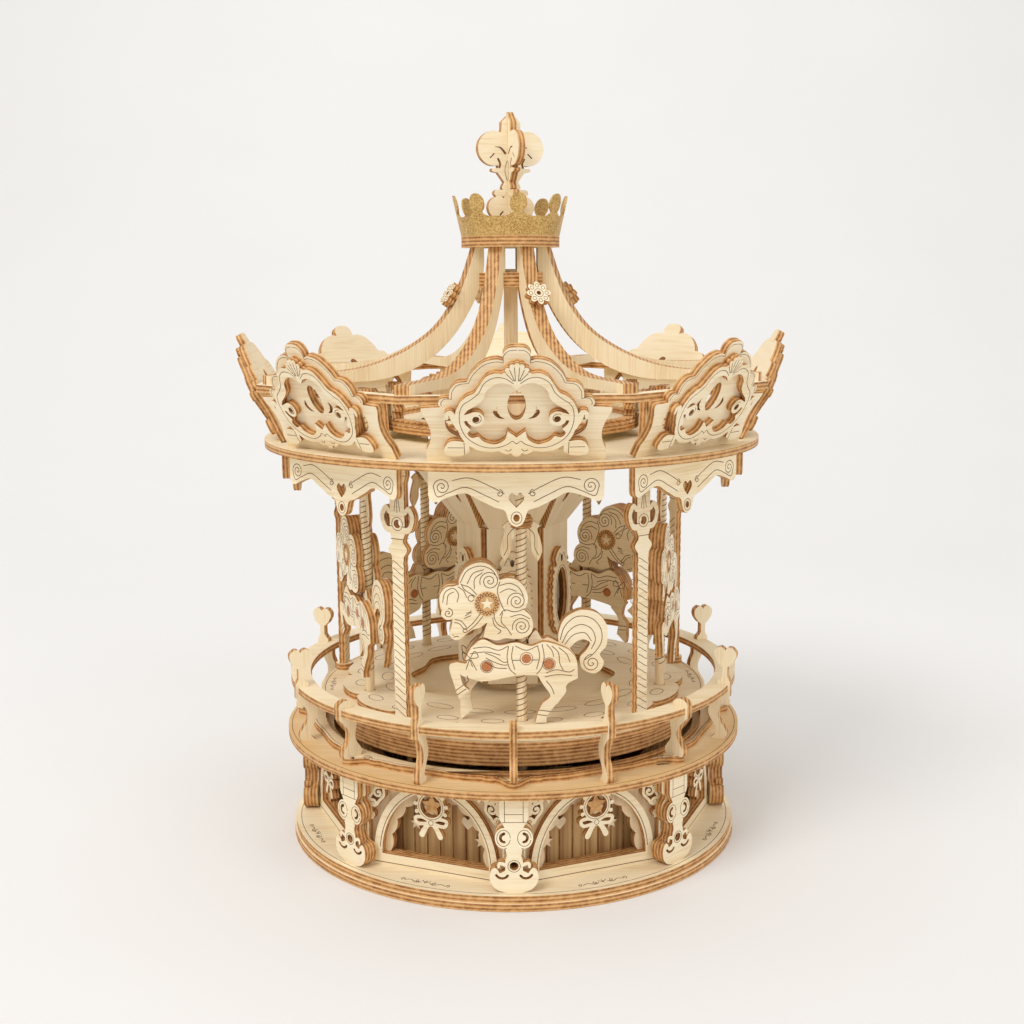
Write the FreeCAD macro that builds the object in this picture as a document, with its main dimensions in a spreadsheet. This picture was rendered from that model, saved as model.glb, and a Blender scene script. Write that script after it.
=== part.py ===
import FreeCAD, Part
import math
import os
import Sketcher
from FreeCAD import Placement, Rotation, Vector

# Carousel music box of laser-cut plywood. Origin: centre of the underside, +Z up, -Y to the front.

SIZES = [
    ("ply", 3.0),
    ("fit_gap", 0.05),
    ("body_gap", 0.4),
    ("base_radius", 98.3),
    ("panel_inradius", 82.7),
    ("wall_height", 39.4),
    ("rim_radius", 99.7),
    ("rim_opening", 80.0),
    ("lace_opening", 83.4),
    ("fence_height", 17.8),
    ("rail_radius", 97.9),
    ("rail_width", 8.5),
    ("deck_radius", 84.5),
    ("deck_drop", 8.9),
    ("skirt_radius", 80.0),
    ("skirt_height", 5.3),
    ("horse_circle", 66.0),
    ("pole_radius", 2.1),
    ("column_circle", 80.5),
    ("column_height", 108.5),
    ("canopy_radius", 105.7),
    ("canopy_opening", 42.0),
    ("crown_foot_radius", 95.0),
    ("crown_lean", 28.0),
    ("crown_beam_rise", 21.5),
    ("roof_height", 78.8),
    ("crown_ring_radius", 20.8),
    ("crown_ring_height", 4.5),
    ("crown_band_height", 16.9),
    ("crown_band_flare", 3.7),
    ("finial_height", 51.1),
    ("post_radius", 5.0),
    ("top_pin_radius", 3.0),
    ("drum_inradius", 21.7),
    ("drum_gap", 4.7),
    ("drum_height", 68.0),
    ("crank_stroke", 9.0),
    ("crank_axis_height", 15.2),
    ("crank_shaft_radius", 1.5),
    ("gear_module", 1.25),
    ("arbor_offset", 36.0),
    ("arbor_radius", 2.0),
    ("key_hole_radius", 16.0),
]

LEVELS = [
    ("floor_top", "=2 * Sizes.ply"),
    ("rim_bottom", "=floor_top + Sizes.wall_height"),
    ("rim_top", "=rim_bottom + Sizes.ply"),
    ("lace_top", "=rim_top + Sizes.ply"),
    ("rail_bottom", "=lace_top + Sizes.fence_height"),
    ("rail_top", "=rail_bottom + Sizes.ply"),
    ("deck_bottom", "=rail_bottom - Sizes.deck_drop"),
    ("deck_top", "=deck_bottom + Sizes.ply"),
    ("deck_lace_top", "=deck_top + Sizes.ply"),
    ("skirt_bottom", "=deck_bottom - Sizes.skirt_height"),
    ("skirt_floor_bottom", "=skirt_bottom - Sizes.ply"),
    ("canopy_bottom", "=deck_top + Sizes.column_height"),
    ("canopy_top", "=canopy_bottom + Sizes.ply"),
    ("crank_axis", "=canopy_top + Sizes.crank_axis_height"),
    ("roof_top", "=canopy_top + Sizes.roof_height"),
    ("crown_ring_top", "=roof_top + Sizes.crown_ring_height"),
    ("drum_bottom", "=deck_top + Sizes.drum_gap"),
    ("drum_top", "=drum_bottom + Sizes.drum_height"),
    ("liner_inradius", "=Sizes.panel_inradius - Sizes.ply"),
    ("crown_back", "=Sizes.crown_foot_radius - Sizes.ply * cos(Sizes.crown_lean * 1deg)"),
    ("crown_back_foot", "=canopy_top + Sizes.ply * sin(Sizes.crown_lean * 1deg)"),
    ("crown_beam_bottom", "=canopy_top + Sizes.crown_beam_rise"),
]

PANELS = 8
HORSES = 5
FACE_GEAR_TEETH = 84
CRANK_TEETH = 12
DRIVE_TEETH = 60
PINION_TEETH = 12
BARREL_TEETH = 36
CYLINDER_TEETH = 24
MOVEMENT_MODULE = 1.0
KEY_STEM_RADIUS = 3.0
FLY_PIVOT_RADIUS = 0.8
HORSE_ANGLE = 3.0
CANOPY_ANGLE = 1.0
HALF_STEP = 180.0 / PANELS

doc = FreeCAD.newDocument("CarouselMusicBox")


def fill_sheet(name, rows):
    """Make a sheet with one alias per row."""
    sheet = doc.addObject("Spreadsheet::Sheet", name)
    for row, (alias, content) in enumerate(rows, start=1):
        sheet.set("A%d" % row, alias)
        sheet.set("B%d" % row, str(content))
        sheet.setAlias("B%d" % row, alias)
    doc.recompute()
    return sheet


sizes = fill_sheet("Sizes", SIZES)
levels = fill_sheet("Levels", LEVELS)


def size(alias):
    """Value of one driving dimension."""
    return float(sizes.get(alias))


def level(alias):
    """Value of one derived height or radius."""
    return float(levels.get(alias))


PLY = size("ply")
FIT = size("fit_gap")
GAP = size("body_gap")


# ---------------------------------------------------------------- outlines

def line(*points):
    """Straight runs through the points."""
    return ("line", points)


def curve(*points):
    """One smooth run through the points."""
    return ("curve", points)


def arc(middle, end):
    """Round run through the middle point to the end point."""
    return ("arc", (middle, end))


def edges_of(start, *runs):
    """Edges of a closed outline that begins at start; a last line closes it."""
    edges = []
    here = Vector(start[0], start[1], 0)
    first = here
    for kind, points in runs:
        vectors = [Vector(p[0], p[1], 0) for p in points]
        if kind == "line":
            for point in vectors:
                edges.append(Part.LineSegment(here, point))
                here = point
        elif kind == "arc":
            edges.append(Part.Arc(here, vectors[0], vectors[1]))
            here = vectors[1]
        else:
            spline = Part.BSplineCurve()
            spline.interpolate([here] + vectors)
            edges.append(spline)
            here = vectors[-1]
    if here.distanceToPoint(first) > 1e-6:
        edges.append(Part.LineSegment(here, first))
    return edges


def ring_curve(points):
    """One closed smooth curve through the points."""
    spline = Part.BSplineCurve()
    spline.interpolate([Vector(p[0], p[1], 0) for p in points], PeriodicFlag=True)
    return [spline]


def circle(x, y, radius):
    """Circle with its centre at x, y."""
    return [Part.Circle(Vector(x, y, 0), Vector(0, 0, 1), radius)]


def ellipse(x, y, half_width, half_height):
    """Upright or lying ellipse with its centre at x, y."""
    if half_width >= half_height:
        end = Vector(x + half_width, y, 0)
        side = Vector(x, y + half_height, 0)
    else:
        end = Vector(x, y + half_height, 0)
        side = Vector(x - half_width, y, 0)
    return [Part.Ellipse(end, side, Vector(x, y, 0))]


def both_sides(half):
    """Runs of a mirror-symmetric outline from its right half, which starts and ends on x = 0."""
    start, runs = half
    mirrored = []
    for index in range(len(runs) - 1, -1, -1):
        kind, points = runs[index]
        before = runs[index - 1][1][-1] if index else start
        back = list(reversed(points[:-1])) + [before]
        mirrored.append((kind, [(-p[0], p[1]) for p in back]))
    return edges_of(start, *(list(runs) + mirrored))


def spun(points, degrees):
    """Points turned about the origin."""
    turn = math.radians(degrees)
    return [(x * math.cos(turn) - y * math.sin(turn), x * math.sin(turn) + y * math.cos(turn))
            for x, y in points]


def star(x, y, radius, points=5):
    """Five-pointed star with its centre at x, y."""
    corners = []
    for k in range(2 * points):
        reach = radius if k % 2 == 0 else 0.45 * radius
        angle = math.pi / 2 + k * math.pi / points
        corners.append((x + reach * math.cos(angle), y + reach * math.sin(angle)))
    return edges_of(corners[0], line(*corners[1:]))


def heart(x, y, height):
    """Heart that stands on its point at x, y."""
    start = (x, y)
    right = curve((x + 0.42 * height, y + 0.45 * height), (x + 0.5 * height, y + 0.75 * height),
                  (x + 0.27 * height, y + height), (x, y + 0.82 * height))
    left = curve((x - 0.27 * height, y + height), (x - 0.5 * height, y + 0.75 * height),
                 (x - 0.42 * height, y + 0.45 * height), (x, y))
    return edges_of(start, right, left)


# ---------------------------------------------------------------- bodies

def origin_part(body, role):
    """The body's own origin plane or axis with this role."""
    for item in body.Origin.OriginFeatures:
        if item.Role == role:
            return item
    return None


def new_body(label):
    body = doc.addObject("PartDesign::Body", label)
    body.Label = label
    body.AllowCompound = True
    return body


def new_sketch(body, outlines, plane="XY_Plane", out=None, up=None, lean=0.0):
    """Sketch on an origin plane; out shifts it along the plane's normal and up within it."""
    sketch = body.newObject("Sketcher::SketchObject", body.Label + "_outline")
    sketch.AttachmentSupport = (origin_part(body, plane), [""])
    sketch.MapMode = "FlatFace"
    sketch.AttachmentOffset = Placement(Vector(0, 0, 0), Rotation(Vector(1, 0, 0), lean))
    if out:
        sketch.setExpression(".AttachmentOffset.Base.z", out)
    if up:
        sketch.setExpression(".AttachmentOffset.Base.y", up)
    for outline in outlines:
        sketch.addGeometry(outline, False)
    return sketch


def bind_circle(sketch, index, expression, name):
    """Tie a circle about the sketch's origin to a size."""
    sketch.addConstraint(Sketcher.Constraint("Coincident", index, 3, -1, 1))
    row = sketch.addConstraint(Sketcher.Constraint("Radius", index, sketch.Geometry[index].Radius))
    sketch.renameConstraint(row, name)
    sketch.setExpression("Constraints." + name, expression)


def pad(body, sketch, thickness="Sizes.ply"):
    feature = body.newObject("PartDesign::Pad", body.Label + "_pad")
    feature.Profile = sketch
    feature.setExpression("Length", thickness)
    body.Tip = feature
    sketch.Visibility = False
    return feature


def around(body, feature, count):
    """Repeat a feature about the vertical axis."""
    doc.recompute()
    pattern = body.newObject("PartDesign::PolarPattern", body.Label + "_pattern")
    pattern.Originals = [feature]
    pattern.Axis = (origin_part(body, "Z_Axis"), [""])
    pattern.Angle = 360.0
    pattern.Occurrences = count
    body.Tip = pattern
    return pattern


def turn(body, degrees):
    body.Placement = Placement(Vector(0, 0, 0), Rotation(Vector(0, 0, 1), degrees))
    return body


def disc(label, radius, height, holes=(), thickness="Sizes.ply"):
    """Flat round plate about the axis; radius and height are expressions."""
    body = new_body(label)
    sketch = new_sketch(body, [circle(0, 0, 10.0)], out=height)
    for hole in holes:
        sketch.addGeometry(hole, False)
    bind_circle(sketch, 0, radius, "outer")
    pad(body, sketch, thickness)
    return body


def ring(label, radius, opening, height, holes=(), thickness="Sizes.ply"):
    """Flat ring about the axis; radius, opening and height are expressions."""
    body = new_body(label)
    sketch = new_sketch(body, [circle(0, 0, 20.0), circle(0, 0, 10.0)], out=height)
    for hole in holes:
        sketch.addGeometry(hole, False)
    bind_circle(sketch, 0, radius, "outer")
    bind_circle(sketch, 1, opening, "opening")
    pad(body, sketch, thickness)
    return body


def face_plates(label, outlines, out, up, count, first_angle, thickness="Sizes.ply", lean=0.0):
    """Plates that face outward round the axis; out is the distance of their inner face."""
    body = new_body(label)
    sketch = new_sketch(body, outlines, "XZ_Plane", out, up, lean)
    feature = pad(body, sketch, thickness)
    around(body, feature, count)
    return turn(body, first_angle)


def radial_plates(label, outlines, up, count, first_angle, thickness="Sizes.ply"):
    """Plates that stand on edge along a radius; the sketch's x is the radius."""
    body = new_body(label)
    sketch = new_sketch(body, outlines, "XZ_Plane", "-" + thickness + " / 2", up)
    feature = pad(body, sketch, thickness)
    around(body, feature, count)
    return turn(body, first_angle)


def turned(label, half_section, spot=(0.0, 0.0), base="0"):
    """Solid of revolution about a vertical line; the half section is r, z from the base."""
    body = new_body(label)
    sketch = new_sketch(body, [edges_of(half_section[0], line(*half_section[1:]))], "XZ_Plane", None, base)
    feature = body.newObject("PartDesign::Revolution", label + "_turned")
    feature.Profile = sketch
    feature.ReferenceAxis = (origin_part(body, "Z_Axis"), [""])
    feature.Angle = 360.0
    body.Tip = feature
    body.Placement = Placement(Vector(spot[0], spot[1], 0), Rotation())
    return body


def group(label, shapes):
    """One node from several loose solids."""
    item = doc.addObject("Part::Feature", label)
    item.Label = label
    item.Shape = Part.makeCompound(shapes) if len(shapes) > 1 else shapes[0]
    return item


def rod(x, y, z, radius, length, axis=Vector(0, 0, 1)):
    return Part.makeCylinder(radius, length, Vector(x, y, z), axis)


def slab(edges, thickness, at=None):
    """Flat solid from outline edges; the first wire holds and the others cut."""
    wires = [Part.Wire(Part.sortEdges([e.toShape() for e in outline])[0]) for outline in edges]
    face = Part.makeFace(wires, "Part::FaceMakerBullseye")
    solid = face.extrude(Vector(0, 0, thickness))
    if at:
        solid.Placement = at.multiply(solid.Placement)
    return solid


UPRIGHT = Rotation(Vector(1, 0, 0), 90)


def outward(degrees):
    """Unit vector at an angle from the front, positive towards +X."""
    turn_to = math.radians(degrees)
    return Vector(math.sin(turn_to), -math.cos(turn_to), 0)


parts = []


def keep(item):
    parts.append(item)
    return item


# ---------------------------------------------------------------- base

def make_base():
    """Base plates, arched walls, pilasters, rim and fence."""
    x_key, y_key = barrel_spot()
    hole_r = size("key_hole_radius")
    plates = []
    for radius, z in ((size("base_radius"), 0.0), (size("base_radius") - 0.8, PLY)):
        plates.append(Part.makeCylinder(radius, PLY, Vector(0, 0, z)).cut(rod(x_key, y_key, z, hole_r, PLY)))
    keep(group("base_plates", plates))

    half = panel_half_width()
    height = size("wall_height")
    sill = 5.0
    panel = edges_of((-half, 0), line((half, 0), (half, height), (-half, height)))
    opening = arch(23.6, height - sill - 5.8, sill)
    keep(face_plates("arch_panels", [panel, opening], "Levels.liner_inradius", "Levels.floor_top",
                     PANELS, HALF_STEP))

    liner_half = half - 1.2
    scallops = []
    reach = 21.4
    rise = height - sill - 8.0
    lobes = 11
    for k in range(lobes):
        low = math.pi * k / lobes
        high = math.pi * (k + 1) / lobes
        middle = (low + high) / 2
        scallops.append(arc(((reach - 1.3) * math.cos(middle), sill + (rise - 1.3) * math.sin(middle)),
                            (reach * math.cos(high), sill + rise * math.sin(high))))
    liner = edges_of((-liner_half, 0), line((liner_half, 0), (liner_half, height), (-liner_half, height)))
    window = edges_of((-reach, sill), line((reach, sill)), *scallops)
    keep(face_plates("arch_liners", [liner, window], "Levels.liner_inradius - Sizes.ply",
                     "Levels.floor_top", PANELS, HALF_STEP))

    keep(make_slat_wall())

    pilaster = both_sides(((0, 0), [
        line((3, 0)), curve((6.2, 1.2), (8.7, 4), (9.5, 8), (8.2, 12.6), (4.3, 14.6)),
        curve((3.6, 17.5), (6.3, 21), (7.2, 24.5), (5.6, 27.4), (3.9, 29)),
        curve((5.8, 30.8), (6.5, 33.4), (5.3, 35.2)),
        line((7, 35.2), (7, height), (0, height))]))
    eye = circle(0, 11.4, 1.7)
    left_cut = edges_of((-5.2, 8.6), curve((-6.6, 6), (-4.8, 3.6), (-2, 3.4)), curve((-4.2, 5), (-5.2, 8.6)))
    right_cut = edges_of((5.2, 8.6), curve((6.6, 6), (4.8, 3.6), (2, 3.4)), curve((4.2, 5), (5.2, 8.6)))
    keep(face_plates("base_pilasters", [pilaster, eye, left_cut, right_cut], pilaster_back(),
                     "Levels.floor_top", PANELS, 0.0, "2 * Sizes.ply"))

    badge = both_sides(((0, -8.6), [
        curve((2.2, -10.5), (4.2, -12.6)), line((5.4, -12.2)), curve((4.2, -9.5), (2.6, -7.6)),
        curve((6.2, -9.4), (7.4, -7.2), (5.8, -4.9), (3.6, -4.8)),
        arc((6, 0), (0, 6))]))
    keep(face_plates("medallions", [badge, star(0, 0, 3.5)], "Sizes.panel_inradius",
                     "Levels.rim_bottom - 10.2", PANELS, HALF_STEP))

    keep(ring("rim_ring", "Sizes.rim_radius", "Sizes.rim_opening", "Levels.rim_bottom"))
    keep(make_lace_ring())
    keep(make_scroll_brackets())
    keep(make_heart_posts())
    keep(make_handrail())


def arch(half, rise, sill):
    """Round-headed opening that springs straight from its sill."""
    steps = 12
    points = [(half * math.cos(math.pi * k / steps), sill + rise * math.sin(math.pi * k / steps))
              for k in range(1, steps + 1)]
    return edges_of((-half, sill), line((half, sill)), curve(*points))


def panel_half_width():
    """Half width of a wall panel, short of the corner at its inner face."""
    return (size("panel_inradius") - PLY) * math.tan(math.radians(HALF_STEP)) - 2.7


def pilaster_back():
    """Distance of the pilasters' back from the axis: just clear of the panels' corners."""
    half_step = math.radians(HALF_STEP)
    reach = size("panel_inradius") * math.cos(half_step) + panel_half_width() * math.sin(half_step)
    return "%.3f" % (reach + FIT)


def make_slat_wall():
    """Curtain of upright slats behind each arch."""
    inradius = size("panel_inradius") - 4 * PLY - 0.7
    half = inradius * math.tan(math.radians(HALF_STEP)) - PLY
    slats = 9
    step = 2 * half / slats
    groove = 0.9
    points = []
    for k in range(slats):
        left = -half + k * step
        points.extend([(left, 0), (left + step - groove, 0), (left + step - groove, -0.8), (left + step, -0.8)])
    points = points[:-2] + [(half, -PLY), (-half, -PLY)]
    body = new_body("slat_wall")
    outline = [(x, -inradius - y) for x, y in points]
    sketch = new_sketch(body, [edges_of(outline[0], line(*outline[1:]))], out="Levels.floor_top")
    around(body, pad(body, sketch, "Sizes.wall_height"), PANELS)
    return turn(body, HALF_STEP)


def wavy(inner, knot, phase=0.0):
    """Points of an eight-fold scalloped edge with a knot at each corner."""
    points = []
    steps = 12
    for k in range(PANELS * steps):
        share = k / steps
        near = abs(share - round(share))
        bump = math.exp(-(near / 0.1) ** 2)
        ripple = 0.5 - 0.5 * math.cos(4 * math.pi * share)
        radius = inner + (knot - inner) * bump + 1.4 * ripple
        angle = math.radians(360.0 / PANELS * share + phase)
        points.append((radius * math.sin(angle), -radius * math.cos(angle)))
    return points


def make_lace_ring():
    """Ornament plate on the rim, with a knot at each corner."""
    body = new_body("lace_ring")
    knot_holes = []
    for k in range(PANELS):
        spot = outward(k * 360.0 / PANELS) * (size("rim_radius") - 13.2)
        knot_holes.extend(circle(spot.x, spot.y, 1.1))
    outlines = [circle(0, 0, size("lace_opening")), ring_curve(wavy(87.4, 96.4)), knot_holes]
    sketch = new_sketch(body, outlines, out="Levels.rim_top")
    bind_circle(sketch, 0, "Sizes.lace_opening", "opening")
    pad(body, sketch)
    return body


def notch_radius():
    """Bottom of the slots in the handrail's outer edge."""
    return size("rail_radius") - 4.4


def make_scroll_brackets():
    """S-shaped brackets on the knots, each ending in a fan above the handrail."""
    notch = notch_radius() + FIT
    low = size("fence_height") - FIT
    high = size("fence_height") + PLY + FIT
    outer = size("rail_radius") + 1.1
    outline = edges_of(
        (notch - 5, 0), line((notch + 3, 0)),
        curve((notch + 3.6, 2.6), (notch + 1.2, 6.2), (notch + 0.3, 10), (notch + 2.4, 13.6), (outer, low - 1)),
        line((outer, high)),
        curve((outer - 0.5, high + 2.2), (outer - 3.4, high + 3.3), (outer - 6.4, high + 2.3), (outer - 7.4, high)),
        line((notch, high), (notch, low), (notch - 3, low)),
        curve((notch - 3.4, 14.5), (notch - 2.6, 10.5), (notch - 2.9, 6.5), (notch - 5.2, 3), (notch - 5, 0)))
    return radial_plates("scroll_brackets", [outline], "Levels.lace_top", PANELS, -90.0)


def make_heart_posts():
    """S-shaped brackets between the knots, each ending in a heart above the handrail."""
    notch = notch_radius() + FIT
    low = size("fence_height") + PLY - FIT
    high = low + PLY + 2 * FIT
    outer = size("rail_radius") + 1.1
    stem = outer - 2.4
    outline = edges_of(
        (notch - 2.6, 0), line((notch + 3.4, 0)),
        curve((notch + 4.4, 2.4), (notch + 2.6, 6), (notch + 0.6, 10), (notch + 1.4, 14), (outer, low - 2)),
        line((outer, high + 1.2), (stem + 1.1, high + 3.4), (stem + 1.1, high + 7.6)),
        curve((stem + 4.2, high + 11), (stem + 4.6, high + 14), (stem + 2.5, high + 16), (stem, high + 14.6)),
        curve((stem - 2.5, high + 16), (stem - 4.6, high + 14), (stem - 4.2, high + 11), (stem - 1.1, high + 7.6)),
        line((stem - 1.1, high + 3.4), (stem - 3, high + 1.2), (stem - 3, high), (notch, high), (notch, low),
             (notch - 2.6, low)),
        curve((notch - 2.2, 16.5), (notch - 3.6, 13), (notch - 2.6, 8.5), (notch - 0.4, 5), (notch - 2.6, 0)))
    return radial_plates("heart_posts", [outline], "Levels.rim_top", PANELS, HALF_STEP - 90.0)


def make_handrail():
    """Handrail ring with a slot in its outer edge for each bracket."""
    body = new_body("handrail")
    sketch = new_sketch(body, [circle(0, 0, 20), circle(0, 0, 10)], out="Levels.rail_bottom")
    bind_circle(sketch, 0, "Sizes.rail_radius", "outer")
    bind_circle(sketch, 1, "Sizes.rail_radius - Sizes.rail_width", "opening")
    pad(body, sketch)
    half = PLY / 2 + FIT
    depth = notch_radius()
    far = size("rail_radius") + 3
    slot = edges_of((depth, -half), line((far, -half), (far, half), (depth, half)))
    cutter = new_sketch(body, [slot], out="Levels.rail_top")
    doc.recompute()
    pocket = body.newObject("PartDesign::Pocket", "handrail_slot")
    pocket.Profile = cutter
    pocket.setExpression("Length", "Sizes.ply")
    around(body, pocket, 2 * PANELS)
    return body


# ---------------------------------------------------------------- drum and post

def make_drum():
    """Fixed post with the six-sided mirror drum and the fixed gear."""
    sides = 6
    inradius = size("drum_inradius")
    half = (inradius - PLY) * math.tan(math.radians(30))
    height = size("drum_height")
    panel = edges_of((-half, 0), line((half, 0), (half, height), (-half, height)))
    keep(face_plates("drum_panels", [panel], "Sizes.drum_inradius - Sizes.ply", "Levels.drum_bottom", sides, 0.0))

    inner = inradius - PLY - FIT
    corners = [spun([(inner / math.cos(math.radians(30)), 0)], 60 * k)[0] for k in range(sides)]
    hexagon = edges_of(corners[0], line(*corners[1:]))
    bore = circle(0, 0, size("post_radius") + FIT)
    plates = []
    for z in (level("drum_bottom"), level("drum_top") - PLY):
        plates.append(slab([hexagon, bore], PLY, Placement(Vector(0, 0, z), Rotation())))
    keep(group("drum_plates", plates))

    lean = 33.0
    rise = 31.0
    top_half = (inradius + rise * math.sin(math.radians(lean))) * math.tan(math.radians(30)) - 1.8
    tilt = math.radians(lean)
    flare = edges_of((-half + 1, 0), line((half - 1, 0)), curve((top_half - 4, rise * 0.55), (top_half, rise)),
                     line((-top_half, rise)), curve((-top_half + 4, rise * 0.55), (-half + 1, 0)))
    slots = [ellipse(x, rise * 0.62, 1.6, 5.5) for x in (-7.5, 7.5)]
    keep(face_plates("drum_flare", [flare] + slots, "%.3f" % (inradius - PLY * math.cos(tilt)),
                     "Levels.drum_top + %.3f" % (PLY * math.sin(tilt)), sides, 0.0, lean=lean))

    middle = height * 0.56
    frame = both_sides(((0, middle - 19), [
        curve((4.6, middle - 16), (7.4, middle - 8), (7.9, middle), (6.9, middle + 9), (4.4, middle + 13.4)),
        curve((5.4, middle + 16), (2.8, middle + 19.4), (0, middle + 20.4))]))
    glass = ellipse(0, middle - 1, 5.0, 12.5)
    keep(face_plates("mirror_frames", [frame, glass], "Sizes.drum_inradius", "Levels.drum_bottom", sides, 0.0))
    keep(face_plates("mirrors", [ellipse(0, middle - 1, 5.0 - FIT, 12.5 - FIT)], "Sizes.drum_inradius",
                     "Levels.drum_bottom", sides, 0.0, "1"))

    post = size("post_radius")
    pin = size("top_pin_radius")
    shoulder = gear_bottom() + gear_web()
    keep(turned("centre_post", [
        (0, 0), (14, 0), (14, 2), (post, 2), (post, shoulder - level("floor_top")),
        (pin, shoulder - level("floor_top")), (pin, level("roof_top") - 9 - level("floor_top")),
        (0, level("roof_top") - 9 - level("floor_top"))], base="Levels.floor_top"))


def gear_web():
    return PLY


def gear_bottom():
    """Underside of the fixed gear: its teeth meet the cranks' wheels at their pitch circle."""
    module = size("gear_module")
    pitch_plane = level("crank_axis") - module * CRANK_TEETH / 2
    return pitch_plane - 1.1 * module - gear_web()


def rack_tooth(module, length):
    """Tooth of a face gear: a bar along X, its root at z = 0."""
    half_root = 0.36 * module * math.pi / 2
    half_tip = 0.17 * module * math.pi / 2
    height = 1.85 * module
    profile = Part.makePolygon([Vector(0, -half_root - 0.1, -0.3), Vector(0, half_root + 0.1, -0.3),
                                Vector(0, half_tip, height), Vector(0, -half_tip, height),
                                Vector(0, -half_root - 0.1, -0.3)])
    return Part.Face(profile).extrude(Vector(length, 0, 0))


def face_gear(module, teeth, width, thickness, bore):
    """Crown gear that lies in XY with its teeth up; the first tooth is along +X."""
    pitch = module * teeth / 2
    inner = pitch - width / 2
    plate = Part.makeCylinder(pitch + width / 2, thickness).cut(Part.makeCylinder(bore, thickness))
    bars = []
    for k in range(teeth):
        bar = rack_tooth(module, width)
        bar.translate(Vector(inner, 0, thickness))
        bar.rotate(Vector(0, 0, 0), Vector(0, 0, 1), 360.0 * k / teeth)
        bars.append(bar)
    return plate.fuse(bars).removeSplitter()


def spur_outline(module, teeth, first_angle=0.0):
    """Outline of a spur gear with straight-flanked teeth; the first tooth points along +X."""
    pitch = module * teeth / 2
    root = pitch - 1.15 * module
    tip = pitch + 0.8 * module
    step = 360.0 / teeth
    share_root = 0.30
    share_tip = 0.12
    points = []
    for k in range(teeth):
        middle = first_angle + k * step
        for radius, offset in ((root, -share_root), (tip, -share_tip), (tip, share_tip), (root, share_root)):
            angle = math.radians(middle + offset * step)
            points.append((radius * math.cos(angle), radius * math.sin(angle)))
    return edges_of(points[0], line(*points[1:]))


def make_fixed_gear():
    """Crown gear fixed to the post; the horses' cranks roll on it as the carousel turns."""
    module = size("gear_module")
    gear = face_gear(module, FACE_GEAR_TEETH, 5.0, gear_web(), size("post_radius") + FIT)
    windows = []
    for k in range(6):
        window = Part.makeCylinder(11, gear_web() + 2, Vector(28, 0, -1))
        window.rotate(Vector(0, 0, 0), Vector(0, 0, 1), 60.0 * k + 30)
        windows.append(window)
    gear = gear.cut(windows)
    gear.rotate(Vector(0, 0, 0), Vector(0, 0, 1), HORSE_ANGLE - 90)
    gear.translate(Vector(0, 0, gear_bottom()))
    keep(group("fixed_gear", [gear]))


# ---------------------------------------------------------------- movement

def barrel_distance():
    """Centre distance of the spring barrel's gear and the arbor's pinion."""
    return MOVEMENT_MODULE * (BARREL_TEETH + PINION_TEETH) / 2


def barrel_spot():
    """Place of the spring barrel and its key, beside the arbor."""
    away = barrel_distance()
    return size("arbor_offset") - away * math.sin(math.radians(30)), -away * math.cos(math.radians(30))


def cylinder_axis_height():
    """Height of the pinned cylinder's axis above the bedplate."""
    return 15.0


def make_movement():
    """Wind-up music movement on the floor: bed, barrel, arbor, cylinder, comb, governor and key."""
    x0 = size("arbor_offset")
    x_barrel, y_barrel = barrel_spot()
    bed_z = level("floor_top")
    bed_thick = 3.0
    top = bed_z + bed_thick
    axis_z = top + cylinder_axis_height()
    arbor_r = size("arbor_radius")
    cylinder_start = x0 + MOVEMENT_MODULE * PINION_TEETH / 2 + 3.0
    cylinder_end = cylinder_start + 13.0

    bed = Part.makeBox(36, 54, bed_thick, Vector(x0 - 18, -36, bed_z))
    tongue = Part.makeBox(10, 26, bed_thick, Vector(x0 + 17, -8, bed_z))
    upright = Part.makeBox(3, 10, cylinder_axis_height() + 6, Vector(cylinder_end + 1, -5, top))
    bridge_z = top + 31.0
    bridge_y = 16.0
    tower = Part.makeBox(12, 4, bridge_z + 3 - top, Vector(x0 - 6, bridge_y - 4, top))
    bridge = Part.makeBox(12, bridge_y + 4, 3, Vector(x0 - 6, -4, bridge_z))
    fly_x, fly_y = x0 - 11.0, 5.0
    frame = bed.fuse([tongue, upright, tower, bridge, rod(fly_x, fly_y, top, 2.5, 2)]).removeSplitter()
    bores = [rod(x0, 0, bed_z, arbor_r + FIT, bed_thick), rod(x0, 0, bridge_z, arbor_r + FIT, 3),
             rod(x_barrel, y_barrel, bed_z, KEY_STEM_RADIUS + FIT, bed_thick),
             rod(cylinder_end, 0, axis_z, arbor_r + FIT, 6, Vector(1, 0, 0)),
             rod(fly_x, fly_y, top - 1, FLY_PIVOT_RADIUS + FIT, 4)]
    keep(group("movement_bed", [frame.cut(bores)]))

    comb_x = cylinder_start + 2.0
    comb_y = 9.2
    tine_step = 1.05
    head = Part.makeBox(10.6, 6, 2, Vector(comb_x, comb_y + 5, axis_z - 1))
    foot = Part.makeBox(8, 3, axis_z - 1 - top, Vector(comb_x + 1, comb_y + 5.4, top))
    tines = [Part.makeBox(0.7, 5.4, 0.8, Vector(comb_x + 0.2 + tine_step * k, comb_y, axis_z - 0.4))
             for k in range(10)]
    keep(group("comb", [head.fuse([foot] + tines).removeSplitter()]))

    screws = []
    for x, y in ((x0 + 14, -33), (x0 + 14, -14), (x0 - 15, 15), (x0 + 24, 15)):
        screws.append(rod(x, y, top, 2.2, 1.4))
    keep(group("movement_screws", screws))

    keep(make_arbor(x0, top, arbor_r, axis_z))
    keep(make_barrel(x_barrel, y_barrel, top))
    keep(make_cylinder(cylinder_start, cylinder_end, axis_z, arbor_r))
    keep(make_governor(fly_x, fly_y, top))
    keep(make_key(x_barrel, y_barrel))


def wheel_bottom():
    """Underside of the drive wheel below the deck."""
    return level("skirt_floor_bottom") - 8.0


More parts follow.
